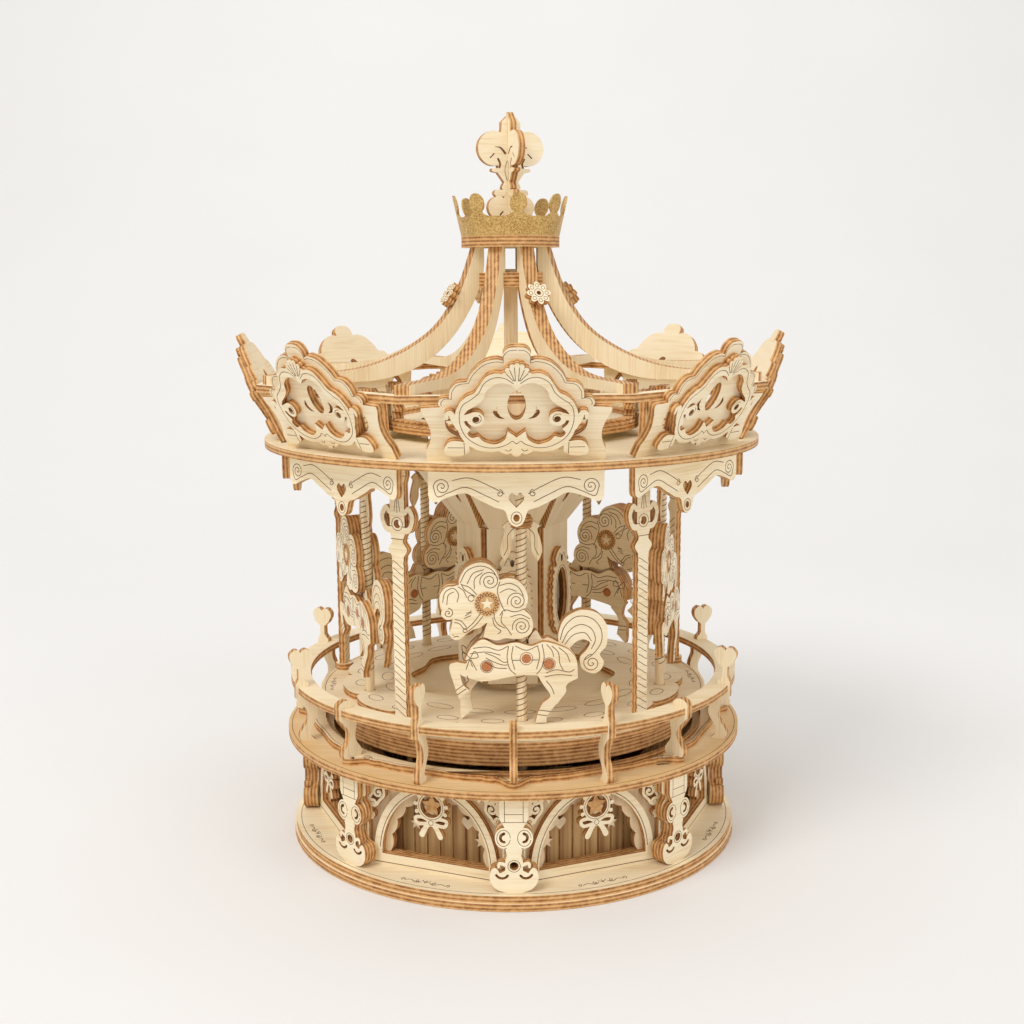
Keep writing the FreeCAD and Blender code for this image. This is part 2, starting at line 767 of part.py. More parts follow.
def make_arbor(x0, top, arbor_r, axis_z):
    """Upright arbor with three pinions: barrel, cylinder and drive wheel."""
    pinion = spur_outline(MOVEMENT_MODULE, PINION_TEETH, 180.0 / PINION_TEETH)
    bottom = level("floor_top") + 0.2
    shaft = rod(x0, 0, bottom, arbor_r, wheel_bottom() + 4.5 - bottom)
    reach = MOVEMENT_MODULE * CYLINDER_TEETH / 2
    gears = []
    for z, height in ((top + 3.0, 3.0), (axis_z + reach - 0.8, 1.6), (wheel_bottom(), 4.0)):
        gears.append(slab([pinion], height, Placement(Vector(x0, 0, z), Rotation())))
    return group("drive_arbor", [shaft.fuse(gears).removeSplitter()])


def make_barrel(x0, y0, top):
    """Spring barrel with a toothed flange."""
    flange = slab([spur_outline(MOVEMENT_MODULE, BARREL_TEETH, 60.0)], 2.4,
                  Placement(Vector(x0, y0, top + 3.3), Rotation()))
    drum = rod(x0, y0, top + 0.5, 14, 16)
    arbor = rod(x0, y0, top + 16, 3, 3)
    return group("spring_barrel", [drum.fuse([flange, arbor]).removeSplitter()])


def make_cylinder(start, end, axis_z, arbor_r):
    """Pinned cylinder with a crown gear that meets the arbor's pinion."""
    gear = face_gear(MOVEMENT_MODULE, CYLINDER_TEETH, 2.0, 2.0, 1.0)
    gear.rotate(Vector(0, 0, 0), Vector(0, 1, 0), -90)
    gear.translate(Vector(start + 1.6, 0, axis_z))
    barrel = rod(start + 1, 0, axis_z, 8.2, end - start - 1, Vector(1, 0, 0))
    shaft = rod(start + 1, 0, axis_z, arbor_r, end - start + 3.2, Vector(1, 0, 0))
    pins = []
    for k in range(36):
        angle = 67.0 * k
        pin = Part.makeCylinder(0.3, 1.0, Vector(0, 0, 7.6))
        pin.rotate(Vector(0, 0, 0), Vector(1, 0, 0), angle)
        pin.translate(Vector(start + 2.6 + 1.05 * (k % 10), 0, axis_z))
        pins.append(pin)
    return group("pinned_cylinder", [gear.fuse([barrel, shaft] + pins)])


def make_governor(x, y, top):
    """Air-brake fly on its own pivot."""
    shaft = rod(x, y, top - 0.8, FLY_PIVOT_RADIUS, 18)
    hub = rod(x, y, top + 3, 1.8, 13)
    blade = Part.makeBox(9, 0.8, 8, Vector(x - 4.5, y - 0.4, top + 7.5))
    return group("governor_fly", [shaft.fuse([hub, blade]).removeSplitter()])


def make_key(x0, y0):
    """Butterfly winding key, recessed in the base."""
    floor = level("floor_top")
    wings = edges_of((-2, -2), curve((-6, -3.6), (-11.5, -5), (-13.8, 0), (-11.5, 5), (-6, 3.6), (-2, 2)),
                     line((2, 2)), curve((6, 3.6), (11.5, 5), (13.8, 0), (11.5, -5), (6, -3.6), (2, -2)))
    blade = slab([wings, circle(-8.8, 0, 2.4), circle(8.8, 0, 2.4)], 2.0, Placement(Vector(0, 0, 1.2), Rotation()))
    stem = rod(0, 0, 1.2, KEY_STEM_RADIUS, floor + 3.0 - 1.2)
    key = blade.fuse(stem).removeSplitter()
    key.translate(Vector(x0, y0, 0))
    return group("winding_key", [key])


# ---------------------------------------------------------------- carousel platform

def make_platform():
    """Turning platform: deck, ornament layer, skirt, hub and drive wheel."""
    circle_r = size("horse_circle")
    hub = size("post_radius") + 5.0
    pole_holes = []
    for k in range(HORSES):
        spot = outward(HORSE_ANGLE + 360.0 / HORSES * k) * circle_r
        pole_holes.append(circle(spot.x, spot.y, size("pole_radius") + 2 * FIT))
    keep(ring("deck", "Sizes.deck_radius", "Sizes.post_radius + 5.05", "Levels.deck_bottom", pole_holes))
    keep(make_deck_lace(pole_holes))

    bottom = level("skirt_floor_bottom")
    radius = size("skirt_radius")
    plate = Part.makeCylinder(radius, PLY, Vector(0, 0, bottom)).cut(rod(0, 0, bottom, hub + FIT, PLY))
    holes = []
    for k in range(HORSES):
        spot = outward(HORSE_ANGLE + 360.0 / HORSES * k) * circle_r
        holes.append(rod(spot.x, spot.y, bottom, size("pole_radius") + 2 * FIT, PLY))
    plate = plate.cut(holes)
    wall = Part.makeCylinder(radius, size("skirt_height"), Vector(0, 0, bottom + PLY))
    wall = wall.cut(Part.makeCylinder(radius - PLY, size("skirt_height"), Vector(0, 0, bottom + PLY)))
    keep(group("deck_skirt", [plate, wall]))

    base = wheel_bottom()
    outer = hub
    keep(turned("deck_hub", [
        (size("post_radius") + FIT, 0), (outer, 0), (outer, level("deck_top") - base),
        (outer + 4, level("deck_top") - base), (outer + 4, level("deck_top") + 2 - base),
        (size("post_radius") + FIT, level("deck_top") + 2 - base)], base="%.3f" % base))

    wheel = slab([spur_outline(MOVEMENT_MODULE, DRIVE_TEETH, 0.0), circle(0, 0, hub + FIT)], 4.0,
                 Placement(Vector(0, 0, base), Rotation()))
    windows = []
    for k in range(5):
        window = Part.makeCylinder(5.5, 6, Vector(19.5, 0, base - 1))
        window.rotate(Vector(0, 0, 0), Vector(0, 0, 1), 72.0 * k)
        windows.append(window)
    keep(group("drive_wheel", [wheel.cut(windows)]))


def make_deck_lace(pole_holes):
    """Ornament layer on the deck, with star-shaped windows between the poles."""
    body = new_body("deck_lace")
    points = []
    steps = 60
    for k in range(steps):
        angle = 2 * math.pi * k / steps
        radius = 74.6 + 1.8 * math.cos(15 * angle)
        points.append((radius * math.cos(angle), radius * math.sin(angle)))
    inner = []
    for k in range(steps):
        angle = 2 * math.pi * k / steps
        radius = 44.0 + 1.6 * math.cos(10 * angle)
        inner.append((radius * math.cos(angle), radius * math.sin(angle)))
    windows = []
    for k in range(HORSES):
        for offset in (18.0, 36.0, 54.0):
            spot = outward(HORSE_ANGLE + 360.0 / HORSES * k + offset) * 60.0
            windows.append(star(spot.x, spot.y, 7.0))
    sketch = new_sketch(body, [ring_curve(points), ring_curve(inner)] + pole_holes + windows,
                        out="Levels.deck_top")
    pad(body, sketch)
    return body


def make_columns():
    """Five flat columns between deck and canopy, with their collars."""
    height = size("column_height")
    column = both_sides(((0, 0), [
        line((2.9, 0), (2.9, height - 36)),
        curve((4.6, height - 34), (2.6, height - 31), (4.8, height - 28), (8.2, height - 22),
              (6.4, height - 17), (3.2, height - 18)),
        curve((3.4, height - 14), (3.2, height - 9)),
        line((4.4, height - 6), (4.4, height), (0, height))]))
    eye = circle(0, height - 25, 2.1)
    cut_left = ellipse(-4.6, height - 20.5, 0.9, 1.9)
    cut_right = ellipse(4.6, height - 20.5, 0.9, 1.9)
    first = HORSE_ANGLE + 180.0 / HORSES
    keep(face_plates("columns", [column, eye, cut_left, cut_right], "Sizes.column_circle - Sizes.ply / 2",
                     "Levels.deck_top", HORSES, first))

    collar_r = 3.9
    collars = []
    for k in range(HORSES):
        angle = first + 360.0 / HORSES * k
        spot = outward(angle) * size("column_circle")
        ring_solid = rod(spot.x, spot.y, level("deck_top"), collar_r, PLY)
        block = Part.makeBox(5.8 + 2 * FIT, PLY + 2 * FIT, PLY, Vector(-2.9 - FIT, -PLY / 2 - FIT, 0))
        block.rotate(Vector(0, 0, 0), Vector(0, 0, 1), angle)
        block.translate(Vector(spot.x, spot.y, level("deck_top")))
        collars.append(ring_solid.cut(block))
    keep(group("column_collars", collars))


# ---------------------------------------------------------------- canopy and roof

def make_canopy():
    """Canopy ring with its hanging valance and the crown of leaning boards."""
    radius = size("horse_circle")
    holes = []
    for k in range(HORSES):
        spot = outward(HORSE_ANGLE + 360.0 / HORSES * k) * radius
        holes.append(circle(spot.x, spot.y, size("pole_radius") + 2 * FIT))
    keep(ring("canopy_ring", "Sizes.canopy_radius", "Sizes.canopy_opening", "Levels.canopy_bottom", holes))

    drop = both_sides(((0, -21.8), [
        curve((2.4, -20), (3.6, -17), (8, -14.4)),
        curve((14, -11.4), (19, -9), (25, -10.4), (30.5, -12), (32.4, -9.6)),
        line((32.4, 0), (0, 0))]))
    holes = [circle(0, -18.2, 1.2), heart(0, -14.2, 5.4)]
    keep(face_plates("valance_boards", [drop] + holes, "Sizes.crown_foot_radius - Sizes.ply",
                     "Levels.canopy_bottom", PANELS, CANOPY_ANGLE))

    lean = size("crown_lean")
    back = both_sides(((0, 0), [
        line((32.7, 0), (32.7, 5)), curve((31.4, 9), (31, 14), (32.4, 19)), line((34.2, 23), (27.2, 23.4)),
        curve((27.6, 26), (25.6, 27.6), (23.2, 28.4)),
        curve((22.4, 32), (19.8, 34), (17.2, 34.4)),
        curve((14.6, 39.6), (9.6, 43.6), (4.6, 43.4)),
        curve((3.8, 47), (1.6, 47.9), (0, 47.9))]))
    eye = ellipse(0, 25, 3.1, 6.2)
    horns = [ellipse(-7, 23.4, 2.4, 1.4), ellipse(7, 23.4, 2.4, 1.4)]
    keep(face_plates("crown_boards", [back, eye] + horns, "Levels.crown_back", "Levels.crown_back_foot",
                     PANELS, CANOPY_ANGLE, lean=lean))

    frame = both_sides(((0, 6.4), [
        curve((3, 9), (6, 7.6), (14, 9.2), (20, 8.4), (25.2, 8.6)),
        curve((25.4, 11.4), (22, 13), (20.6, 14.4)), curve((24.6, 18), (25.4, 22), (23.6, 25.6), (20.8, 28)),
        curve((19.6, 32), (16.4, 33.4), (14, 35)),
        curve((12.2, 39.6), (8.4, 41.4), (4.6, 40.6)),
        curve((3.4, 43.8), (1.6, 44.6), (0, 44.6))]))
    window = both_sides(((0, 14.2), [
        line((3, 17)), curve((5, 12.6), (9, 11.4), (13.6, 13.4)), curve((18.2, 17), (19, 23), (16.4, 27.6)),
        curve((12.6, 30.4), (12, 36.4), (8, 38.2)), curve((4.6, 38.6), (2.2, 37), (0, 35.6))]))
    keep(face_plates("crown_cartouches", [frame, window], "Sizes.crown_foot_radius", "Levels.canopy_top",
                     PANELS, CANOPY_ANGLE, lean=lean))
    keep(make_crown_beam())


def beam_inradius():
    """Outer inradius of the beam: just inside the leaning boards' backs."""
    rise = level("crown_beam_bottom") - level("crown_back_foot")
    return level("crown_back") + rise * math.tan(math.radians(size("crown_lean"))) - 0.3


def make_crown_beam():
    """Eight-sided beam that ties the crown boards and carries the ribs' feet."""
    body = new_body("crown_beam")
    outlines = []
    for inradius in (beam_inradius(), beam_inradius() - 6.0):
        reach = inradius / math.cos(math.radians(HALF_STEP))
        corners = [spun([(reach, 0)], HALF_STEP + 360.0 / PANELS * k)[0] for k in range(PANELS)]
        outlines.append(edges_of(corners[0], line(*corners[1:])))
    pad(body, new_sketch(body, outlines, out="Levels.crown_beam_bottom"))
    return turn(body, CANOPY_ANGLE)


def make_roof():
    """Concave ribs, their hub, flowers, crown and finial."""
    rib_foot = size("crown_beam_rise") + PLY
    top = size("roof_height")
    foot_r = beam_inradius() / math.cos(math.radians(HALF_STEP)) - 3.5
    outline = edges_of(
        (17.2, top), curve((20.2, 70), (25.5, 58), (34, 46.5), (46, 38), (57, 33), (66, 30.4), (84, 28.6),
                           (foot_r, 28)),
        line((foot_r, rib_foot), (66, rib_foot)),
        curve((55, rib_foot + 1.4), (42, 30.6), (30, 39.5), (20.5, 52), (14.4, 66), (13.4, 71)),
        line((13.4, top)))
    keep(radial_plates("roof_ribs", [outline], "Levels.canopy_top", PANELS, CANOPY_ANGLE + HALF_STEP - 90.0,
                       "2 * Sizes.ply"))

    slot_half = PLY + FIT
    hub = Part.makeCylinder(16, 2 * PLY).cut(Part.makeCylinder(size("top_pin_radius") + FIT, 2 * PLY))
    slots = []
    for k in range(PANELS):
        slot = Part.makeBox(12, 2 * slot_half, 2 * PLY + 2, Vector(11.5, -slot_half, -1))
        slot.rotate(Vector(0, 0, 0), Vector(0, 0, 1), CANOPY_ANGLE + HALF_STEP + 360.0 / PANELS * k)
        slots.append(slot)
    hub = hub.cut(slots)
    hub.translate(Vector(0, 0, level("roof_top") - 16.5))
    keep(group("roof_hub", [hub]))

    petals = []
    for k in range(56):
        angle = 2 * math.pi * k / 56
        reach = 4.6 + 0.9 * abs(math.cos(3.5 * angle))
        petals.append((reach * math.cos(angle), reach * math.sin(angle)))
    flowers = []
    slope = 58.0
    for k in range(4):
        flower = slab([ring_curve(petals[::2]), circle(0, 0, 1.0)], PLY)
        flower.rotate(Vector(0, 0, 0), Vector(0, 1, 0), slope)
        flower.translate(Vector(26.3, 0, level("canopy_top") + 58.4))
        flower.rotate(Vector(0, 0, 0), Vector(0, 0, 1), CANOPY_ANGLE + HALF_STEP - 90.0 + 90.0 * k)
        flowers.append(flower)
    keep(group("roof_flowers", flowers))
    make_crown()


def make_crown():
    """Wooden crown ring, gilt band with eight lobes, and the crossed finial."""
    base = level("roof_top")
    ring_top = level("crown_ring_top")
    radius = size("crown_ring_radius")
    keep(disc("crown_ring", "Sizes.crown_ring_radius", "Levels.roof_top", [], "Sizes.crown_ring_height"))

    band_h = size("crown_band_height")
    flare = size("crown_band_flare")
    wall = 0.8
    body = new_body("crown_band")
    section = edges_of((radius - wall, 0), line((radius, 0), (radius + flare, band_h),
                                                (radius + flare - wall, band_h)))
    sketch = new_sketch(body, [section], "XZ_Plane", None, "Levels.crown_ring_top")
    feature = body.newObject("PartDesign::Revolution", "crown_band_turned")
    feature.Profile = sketch
    feature.ReferenceAxis = (origin_part(body, "Z_Axis"), [""])
    feature.Angle = 360.0
    body.Tip = feature
    doc.recompute()
    dip = edges_of((-6.2, band_h + 3), line((-6.2, band_h)),
                   curve((-5.4, band_h - 4.2), (-5.9, band_h - 7.6), (0, band_h - 9.6), (5.9, band_h - 7.6),
                         (5.4, band_h - 4.2), (6.2, band_h)), line((6.2, band_h + 3)))
    cutter = new_sketch(body, [dip], "XZ_Plane", "Sizes.crown_ring_radius + 10", "Levels.crown_ring_top")
    pocket = body.newObject("PartDesign::Pocket", "crown_band_dip")
    pocket.Profile = cutter
    pocket.setExpression("Length", "Sizes.crown_ring_radius")
    around(body, pocket, PANELS)
    turn(body, 8.5 + HALF_STEP)
    keep(body)

    height = size("finial_height")
    half_slot = PLY / 2 + FIT
    lily = both_sides(((0, 0), [
        line((9.5, 0)), curve((8.6, 5), (4, 8), (3.4, 12)), curve((6, 16), (8.4, 15), (8.6, 20), (3.6, 21)),
        curve((3, 25), (5, 27.4), (9.6, 26.4)), curve((14.5, 29), (14.6, 36), (10.8, 39.6), (5.6, 37.2)),
        curve((5.4, 42), (3.4, height - 4.5), (0, height))]))
    eyes = [ellipse(-8.2, 33, 1.2, 2.6), ellipse(8.2, 33, 1.2, 2.6)]
    middle = height * 0.5
    plates = []
    for low, high, spin in ((middle, height + 2, 0.0), (-2, middle, 90.0)):
        plate = slab([lily] + eyes, PLY, Placement(Vector(0, PLY / 2, 0), UPRIGHT))
        slot = Part.makeBox(2 * half_slot, PLY + 2, high - low, Vector(-half_slot, -PLY / 2 - 1, low))
        plate = plate.cut(slot)
        plate.rotate(Vector(0, 0, 0), Vector(0, 0, 1), spin)
        plate.translate(Vector(0, 0, ring_top))
        plates.append(plate)
    keep(group("finial", plates))


# ---------------------------------------------------------------- horses and cranks

HORSE_MIDDLE = [
    ((-2.5, 19.5), [curve((-15, 17.5), (-22, 20), (-22.5, 26), (-16, 35.5), (-14, 39.5), (-14.5, 42)),
                    curve((-18, 39), (-22.5, 37), (-26, 35), (-28.5, 37), (-27.5, 41.5), (-27, 44.5)),
                    curve((-29.5, 44), (-31.5, 45.5), (-32.2, 49), (-31.6, 53), (-29.5, 56), (-25, 56.5)),
                    curve((-24, 60), (-21.5, 63.5), (-16, 65.5), (-11.5, 63.5), (-9, 60), (-8.5, 56.5)),
                    curve((-7, 58.5), (-4.6, 59)), line((-2.7, 58.8), (-2.7, 33.5))]),
    ((2.7, 33.5), [curve((5.5, 37), (8, 33.5), (10.5, 34), (14.5, 32)),
                   curve((14.5, 35.5), (16.5, 41), (20.5, 44), (24.5, 45), (30, 43.5), (33.5, 39), (34, 34.5),
                         (33.5, 30), (31, 27), (32.6, 23.5), (31, 20), (28, 19), (24, 21), (23, 25.5),
                         (25.5, 28.5), (27, 31.5), (24.5, 33), (21.5, 32), (19, 29.5)),
                   curve((21.5, 25.5), (22, 18)), curve((17.5, 16.5), (11.5, 17.5), (7, 19.5), (2.7, 20))]),
]
HORSE_NEAR = ((-20, 31.5), [
    curve((-15.5, 34.5), (-9.5, 32), (-2.5, 33), (3.5, 31.5), (8.5, 33), (14.5, 31.5), (19, 29), (21.5, 25),
          (22, 18)),
    curve((17.5, 15.5), (17, 12), (12.5, 6.5), (9.5, 2.5)), line((9.5, 0), (5, 0), (6, 4)),
    curve((8, 8), (11, 11), (8, 16), (6, 19.5)), curve((-2.5, 19.5), (-15, 17.5), (-22.5, 19.5), (-24.5, 20.5)),
    curve((-23.5, 16.5), (-21, 14)), line((-25, 10.5)), curve((-26, 13), (-27, 16.5), (-28.5, 21.5),
                                                            (-28.5, 24.5), (-26, 25.5)),
    curve((-22, 25), (-22, 27.5), (-20, 31.5))])
HORSE_FAR = ((-20, 31.5), [
    curve((-15.5, 34.5), (-9.5, 32), (-2.5, 33), (3.5, 31.5), (8.5, 33), (14.5, 31.5), (19, 29), (21.5, 25),
          (22, 18)),
    curve((20.5, 16), (18, 12.5), (17, 9)), line((14.5, 5), (13.5, 7), (15.5, 10)),
    curve((14.5, 13.5), (8, 16), (6, 19.5)), curve((-2.5, 19.5), (-15, 17.5), (-16.5, 16)),
    curve((-18, 14.6), (-20, 12), (-20.5, 9)), line((-19.5, 4), (-24, 0), (-24.5, 2.5), (-24.5, 10)),
    curve((-22, 13), (-22.6, 17), (-24, 19)), curve((-22.5, 22), (-22, 27.5), (-20, 31.5))])
HORSE_PEGS = ((-14, 23.5), (10.5, 24))


def crank_phase(k):
    """Rest angle of a crank pin from its lowest point."""
    return 144.0 * k


def horse_lift(k):
    """Height of a horse above its lowest point at rest."""
    return size("crank_stroke") / 2 * (1 - math.cos(math.radians(crank_phase(k))))


def make_horse(k):
    """One layered horse and its pole, on the pole's place round the platform."""
    angle = HORSE_ANGLE + 360.0 / HORSES * k
    spot = outward(angle) * size("horse_circle")
    hoof = level("deck_lace_top") + GAP + horse_lift(k)
    place = Placement(Vector(spot.x, spot.y, hoof), Rotation(Vector(0, 0, 1), angle))
    pole_r = size("pole_radius")
    core = 2 * pole_r + 0.2
    solids = []
    for outline in HORSE_MIDDLE:
        solids.append(slab([edges_of(outline[0], *outline[1])], core, Placement(Vector(0, core / 2, 0), UPRIGHT)))
    for outline, front in ((HORSE_NEAR, core / 2 + PLY), (HORSE_FAR, -core / 2)):
        plate = slab([edges_of(outline[0], *outline[1])], PLY, Placement(Vector(0, PLY - front, 0), UPRIGHT))
        solids.append(plate)
    peg_length = core + 2 * PLY
    holes = [rod(x, -peg_length / 2, z, pole_r + FIT, peg_length, Vector(0, 1, 0)) for x, z in HORSE_PEGS]
    solids = [solid.cut(holes) for solid in solids]
    for x, z in HORSE_PEGS:
        solids.append(rod(x, -peg_length / 2, z, pole_r, peg_length, Vector(0, 1, 0)))
    for solid in solids:
        solid.Placement = place.multiply(solid.Placement)
    keep(group("horse_%d" % (k + 1), solids))

    foot = level("rim_bottom") + 0.6 - hoof + horse_lift(k)
    head = level("crank_axis") - size("crank_stroke") / 2 - 2.6 - hoof + horse_lift(k)
    pole = rod(0, 0, foot, pole_r, head - foot)
    basket = rod(0, 0, 78, pole_r + 2.6, 5)
    yoke = Part.makeBox(12, 2 * pole_r, 5.2, Vector(-6, -pole_r, head))
    slot = Part.makeBox(10, 2 * pole_r + 2, 2.6, Vector(-5, -pole_r - 1, head + 1.3))
    pole = pole.fuse([basket, yoke.cut(slot)]).removeSplitter()
    pole.Placement = place.multiply(pole.Placement)
    keep(group("horse_pole_%d" % (k + 1), [pole]))


def bearing_radius():
    """Distance of the crank bearings' inner face from the axis."""
    return size("horse_circle") - size("pole_radius") - 7.1


def make_crank(k):
    """Crank wheel, shaft, disc and pin of one horse."""
    angle = HORSE_ANGLE + 360.0 / HORSES * k
    module = size("gear_module")
    pitch = module * FACE_GEAR_TEETH / 2
    shaft_r = size("crank_shaft_radius")
    share = (360.0 / HORSES * k) * FACE_GEAR_TEETH / 360.0
    slip = (share - math.floor(share)) * 360.0 / CRANK_TEETH
    outline = spur_outline(module, CRANK_TEETH, -90.0 + 180.0 / CRANK_TEETH - slip)
    width = 4.6
    wheel = slab([outline], width, Placement(Vector(0, 0, pitch - width / 2), Rotation()))
    disc_start = bearing_radius() + PLY + 0.6
    shaft = rod(0, 0, pitch - width / 2, shaft_r, disc_start + 1 - pitch + width / 2)
    plate = rod(0, 0, disc_start, size("crank_stroke") / 2 + 1.5, 2.0)
    phase = math.radians(crank_phase(k) - 90.0)
    reach = size("crank_stroke") / 2
    pin_end = size("horse_circle") - size("pole_radius") - 0.5
    pin = rod(reach * math.cos(phase), reach * math.sin(phase), disc_start, 1.0, pin_end - disc_start)
    crank = wheel.fuse([shaft, plate, pin]).removeSplitter()
    lay = Placement(Vector(0, 0, level("crank_axis")), Rotation(Vector(0, 0, 1), angle).multiply(UPRIGHT))
    crank.Placement = lay.multiply(crank.Placement)
    keep(group("crank_%d" % (k + 1), [crank]))


def make_bearings():
    """Bearing plates of the cranks, standing on the canopy ring."""
    top = size("crank_axis_height") + 4.5
    bearing = edges_of((-7, 0), line((7, 0), (4, top - 4)), curve((3, top - 0.6), (0, top), (-3, top - 0.6),
                                                                   (-4, top - 4)))
    bore = circle(0, size("crank_axis_height"), size("crank_shaft_radius") + FIT)
    keep(face_plates("crank_bearings", [bearing, bore], "%.3f" % bearing_radius(), "Levels.canopy_top",
                     HORSES, HORSE_ANGLE))


make_base()
make_drum()
make_fixed_gear()
make_movement()
make_platform()
make_columns()
make_canopy()
make_roof()
make_bearings()
for number in range(HORSES):
    make_crank(number)
    make_horse(number)

doc.recompute()

for item in doc.Objects:
    if "Invalid" in item.State or "Error" in item.State:
        raise RuntimeError("%s did not build: %s" % (item.Label, item.State))
for item in parts:
    shape = item.Shape
    if shape.isNull() or not shape.isValid() or not shape.Solids:
        raise RuntimeError("%s has no valid solid" % item.Label)

os.makedirs("parts", exist_ok=True)
for item in parts:
    item.Shape.exportStep("parts/%s.step" % item.Label)
print("%d parts written" % len(parts))
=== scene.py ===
import math
import random

import bmesh
import bpy
import numpy as np
from mathutils import Matrix, Vector


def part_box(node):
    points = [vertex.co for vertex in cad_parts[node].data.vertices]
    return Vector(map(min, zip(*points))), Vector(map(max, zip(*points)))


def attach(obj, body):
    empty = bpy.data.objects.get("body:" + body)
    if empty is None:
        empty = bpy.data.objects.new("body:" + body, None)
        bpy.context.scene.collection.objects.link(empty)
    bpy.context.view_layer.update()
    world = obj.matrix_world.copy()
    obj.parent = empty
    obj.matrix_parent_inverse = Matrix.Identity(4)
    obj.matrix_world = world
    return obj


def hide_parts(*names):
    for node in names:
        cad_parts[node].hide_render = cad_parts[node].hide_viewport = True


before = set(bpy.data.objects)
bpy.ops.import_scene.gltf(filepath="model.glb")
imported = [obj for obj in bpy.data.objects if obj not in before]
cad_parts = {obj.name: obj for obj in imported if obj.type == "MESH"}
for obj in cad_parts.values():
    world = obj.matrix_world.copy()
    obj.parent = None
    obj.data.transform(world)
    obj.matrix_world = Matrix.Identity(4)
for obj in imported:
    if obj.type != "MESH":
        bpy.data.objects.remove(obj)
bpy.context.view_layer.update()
random.seed(7)

# Lengths in this script are millimetres; MM turns them into Blender's metres.
MM = 0.001


def low(node):
    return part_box(node)[0] * 1000


def high(node):
    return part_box(node)[1] * 1000


PLY = high("rim_ring")[2] - low("rim_ring")[2]
PANELS = 8
HORSES = 5
HALF_STEP = 180.0 / PANELS
HORSE_ANGLE = 3.0
CANOPY_ANGLE = 1.0
FLOOR_TOP = high("base_plates")[2]
RIM_BOTTOM = low("rim_ring")[2]
RIM_TOP = high("rim_ring")[2]
DECK_TOP = high("deck")[2]
DECK_RADIUS = high("deck")[0]
CANOPY_BOTTOM = low("canopy_ring")[2]
CANOPY_TOP = high("canopy_ring")[2]
CROWN_BOTTOM = high("crown_ring")[2]
DRUM_BOTTOM = low("drum_panels")[2]
DRUM_INRADIUS = -low("drum_panels")[1]
PANEL_INRADIUS = 82.7
CROWN_LEAN = 28.0
HORSE_CIRCLE = 66.0
COLUMN_CIRCLE = 80.5
POLE_RADIUS = 2.1
BOARD_INRADIUS = 95.0
FINIAL_TURN = 20.0
LEAF_TURN = 8.5
# Height of a burnt line that stands a hair proud of a plate's back.
BACK = 0.02
# On a horse: thickness of the applied star and wreath, and the places of its pegs and ornaments.
SKIN = 0.35
PEGS = ((-14, 23.5), (10.5, 24))
BUTTON = (1.6, 26.4)
WREATH = (-13.7, 48.8)
# The camera as solved from the photo: place in metres, degrees, and its lens in millimetres.
CAMERA_SPOT = (0, -0.5935, 0.24)
CAMERA_PITCH = 9.6
CAMERA_ROLL = 0.34
LENS = 48.23


# ---------------------------------------------------------------- curves

def smooth(points, steps=6):
    """Points of a smooth open curve through the given ones."""
    pts = [np.array(p, float) for p in points]
    if len(pts) < 3:
        return [tuple(p) for p in pts]
    ends = [2 * pts[0] - pts[1]] + pts + [2 * pts[-1] - pts[-2]]
    out = []
    for a, b, c, d in zip(ends, ends[1:], ends[2:], ends[3:]):
        for k in range(steps):
            s = k / steps
            out.append(tuple(0.5 * (2 * b + (c - a) * s + (2 * a - 5 * b + 4 * c - d) * s * s
                                    + (3 * b - a - 3 * c + d) * s ** 3)))
    out.append(tuple(pts[-1]))
    return out


def outline(start, *runs):
    """Closed outline: each run is a list of points, smooth if it has more than one."""
    points = [start]
    for run in runs:
        if len(run) == 1:
            points.append(run[0])
        else:
            points.extend(smooth([points[-1]] + list(run))[1:])
    if math.dist(points[0], points[-1]) < 1e-6:
        points.pop()
    return points


def mirror_shape(start, *runs):
    """Closed outline from its right half, from the bottom to the top of x = 0."""
    half = outline(start, *runs)
    return half + [(-x, y) for x, y in reversed(half[1:-1])] if abs(half[0][0]) < 1e-6 else half


def rectangle(x0, y0, x1, y1):
    return [(x0, y0), (x1, y0), (x1, y1), (x0, y1)]


def flipped(points):
    return [(-x, y) for x, y in points]


def handed(side, *points):
    """The points, or their mirror image when side is -1."""
    return [(side * x, y) for x, y in points]


def curves(*paths):
    """A smooth curve through each list of points; two points stay a straight line."""
    return [smooth(path) for path in paths]


def turned(points, degrees):
    a = math.radians(degrees)
    return [(x * math.cos(a) - y * math.sin(a), x * math.sin(a) + y * math.cos(a)) for x, y in points]


def ring_points(x, y, rx, ry=None, count=28):
    ry = ry or rx
    return [(x + rx * math.cos(2 * math.pi * k / count), y + ry * math.sin(2 * math.pi * k / count))
        for k in range(count)]


def spiral(x, y, radius, turns=1.6, start=0.0, hand=1, end=0.25):
    """Points of a spiral that winds inward from radius."""
    count = int(26 * turns)
    out = []
    for k in range(count + 1):
        share = k / count
        reach = radius * ((1 - share) ** 0.85 * (1 - end) + end * (1 - share))
        angle = math.radians(start) + hand * 2 * math.pi * turns * share
        out.append((x + reach * math.cos(angle), y + reach * math.sin(angle)))
    return out


def star_points(x, y, radius, inner=0.42, points=5, turn=90.0):
    out = []
    for k in range(2 * points):
        reach = radius if k % 2 == 0 else inner * radius
        angle = math.radians(turn + 180.0 * k / points)
        out.append((x + reach * math.cos(angle), y + reach * math.sin(angle)))
    return out


def heart_points(x, y, height):
    """Heart standing on its point at x, y."""
    right = smooth([(x, y), (x + 0.42 * height, y + 0.45 * height), (x + 0.5 * height, y + 0.76 * height),
        (x + 0.27 * height, y + height), (x, y + 0.8 * height)], 5)
    left = [(2 * x - px, py) for px, py in reversed(right[1:-1])]
    return right + left


# ---------------------------------------------------------------- fretwork by distance

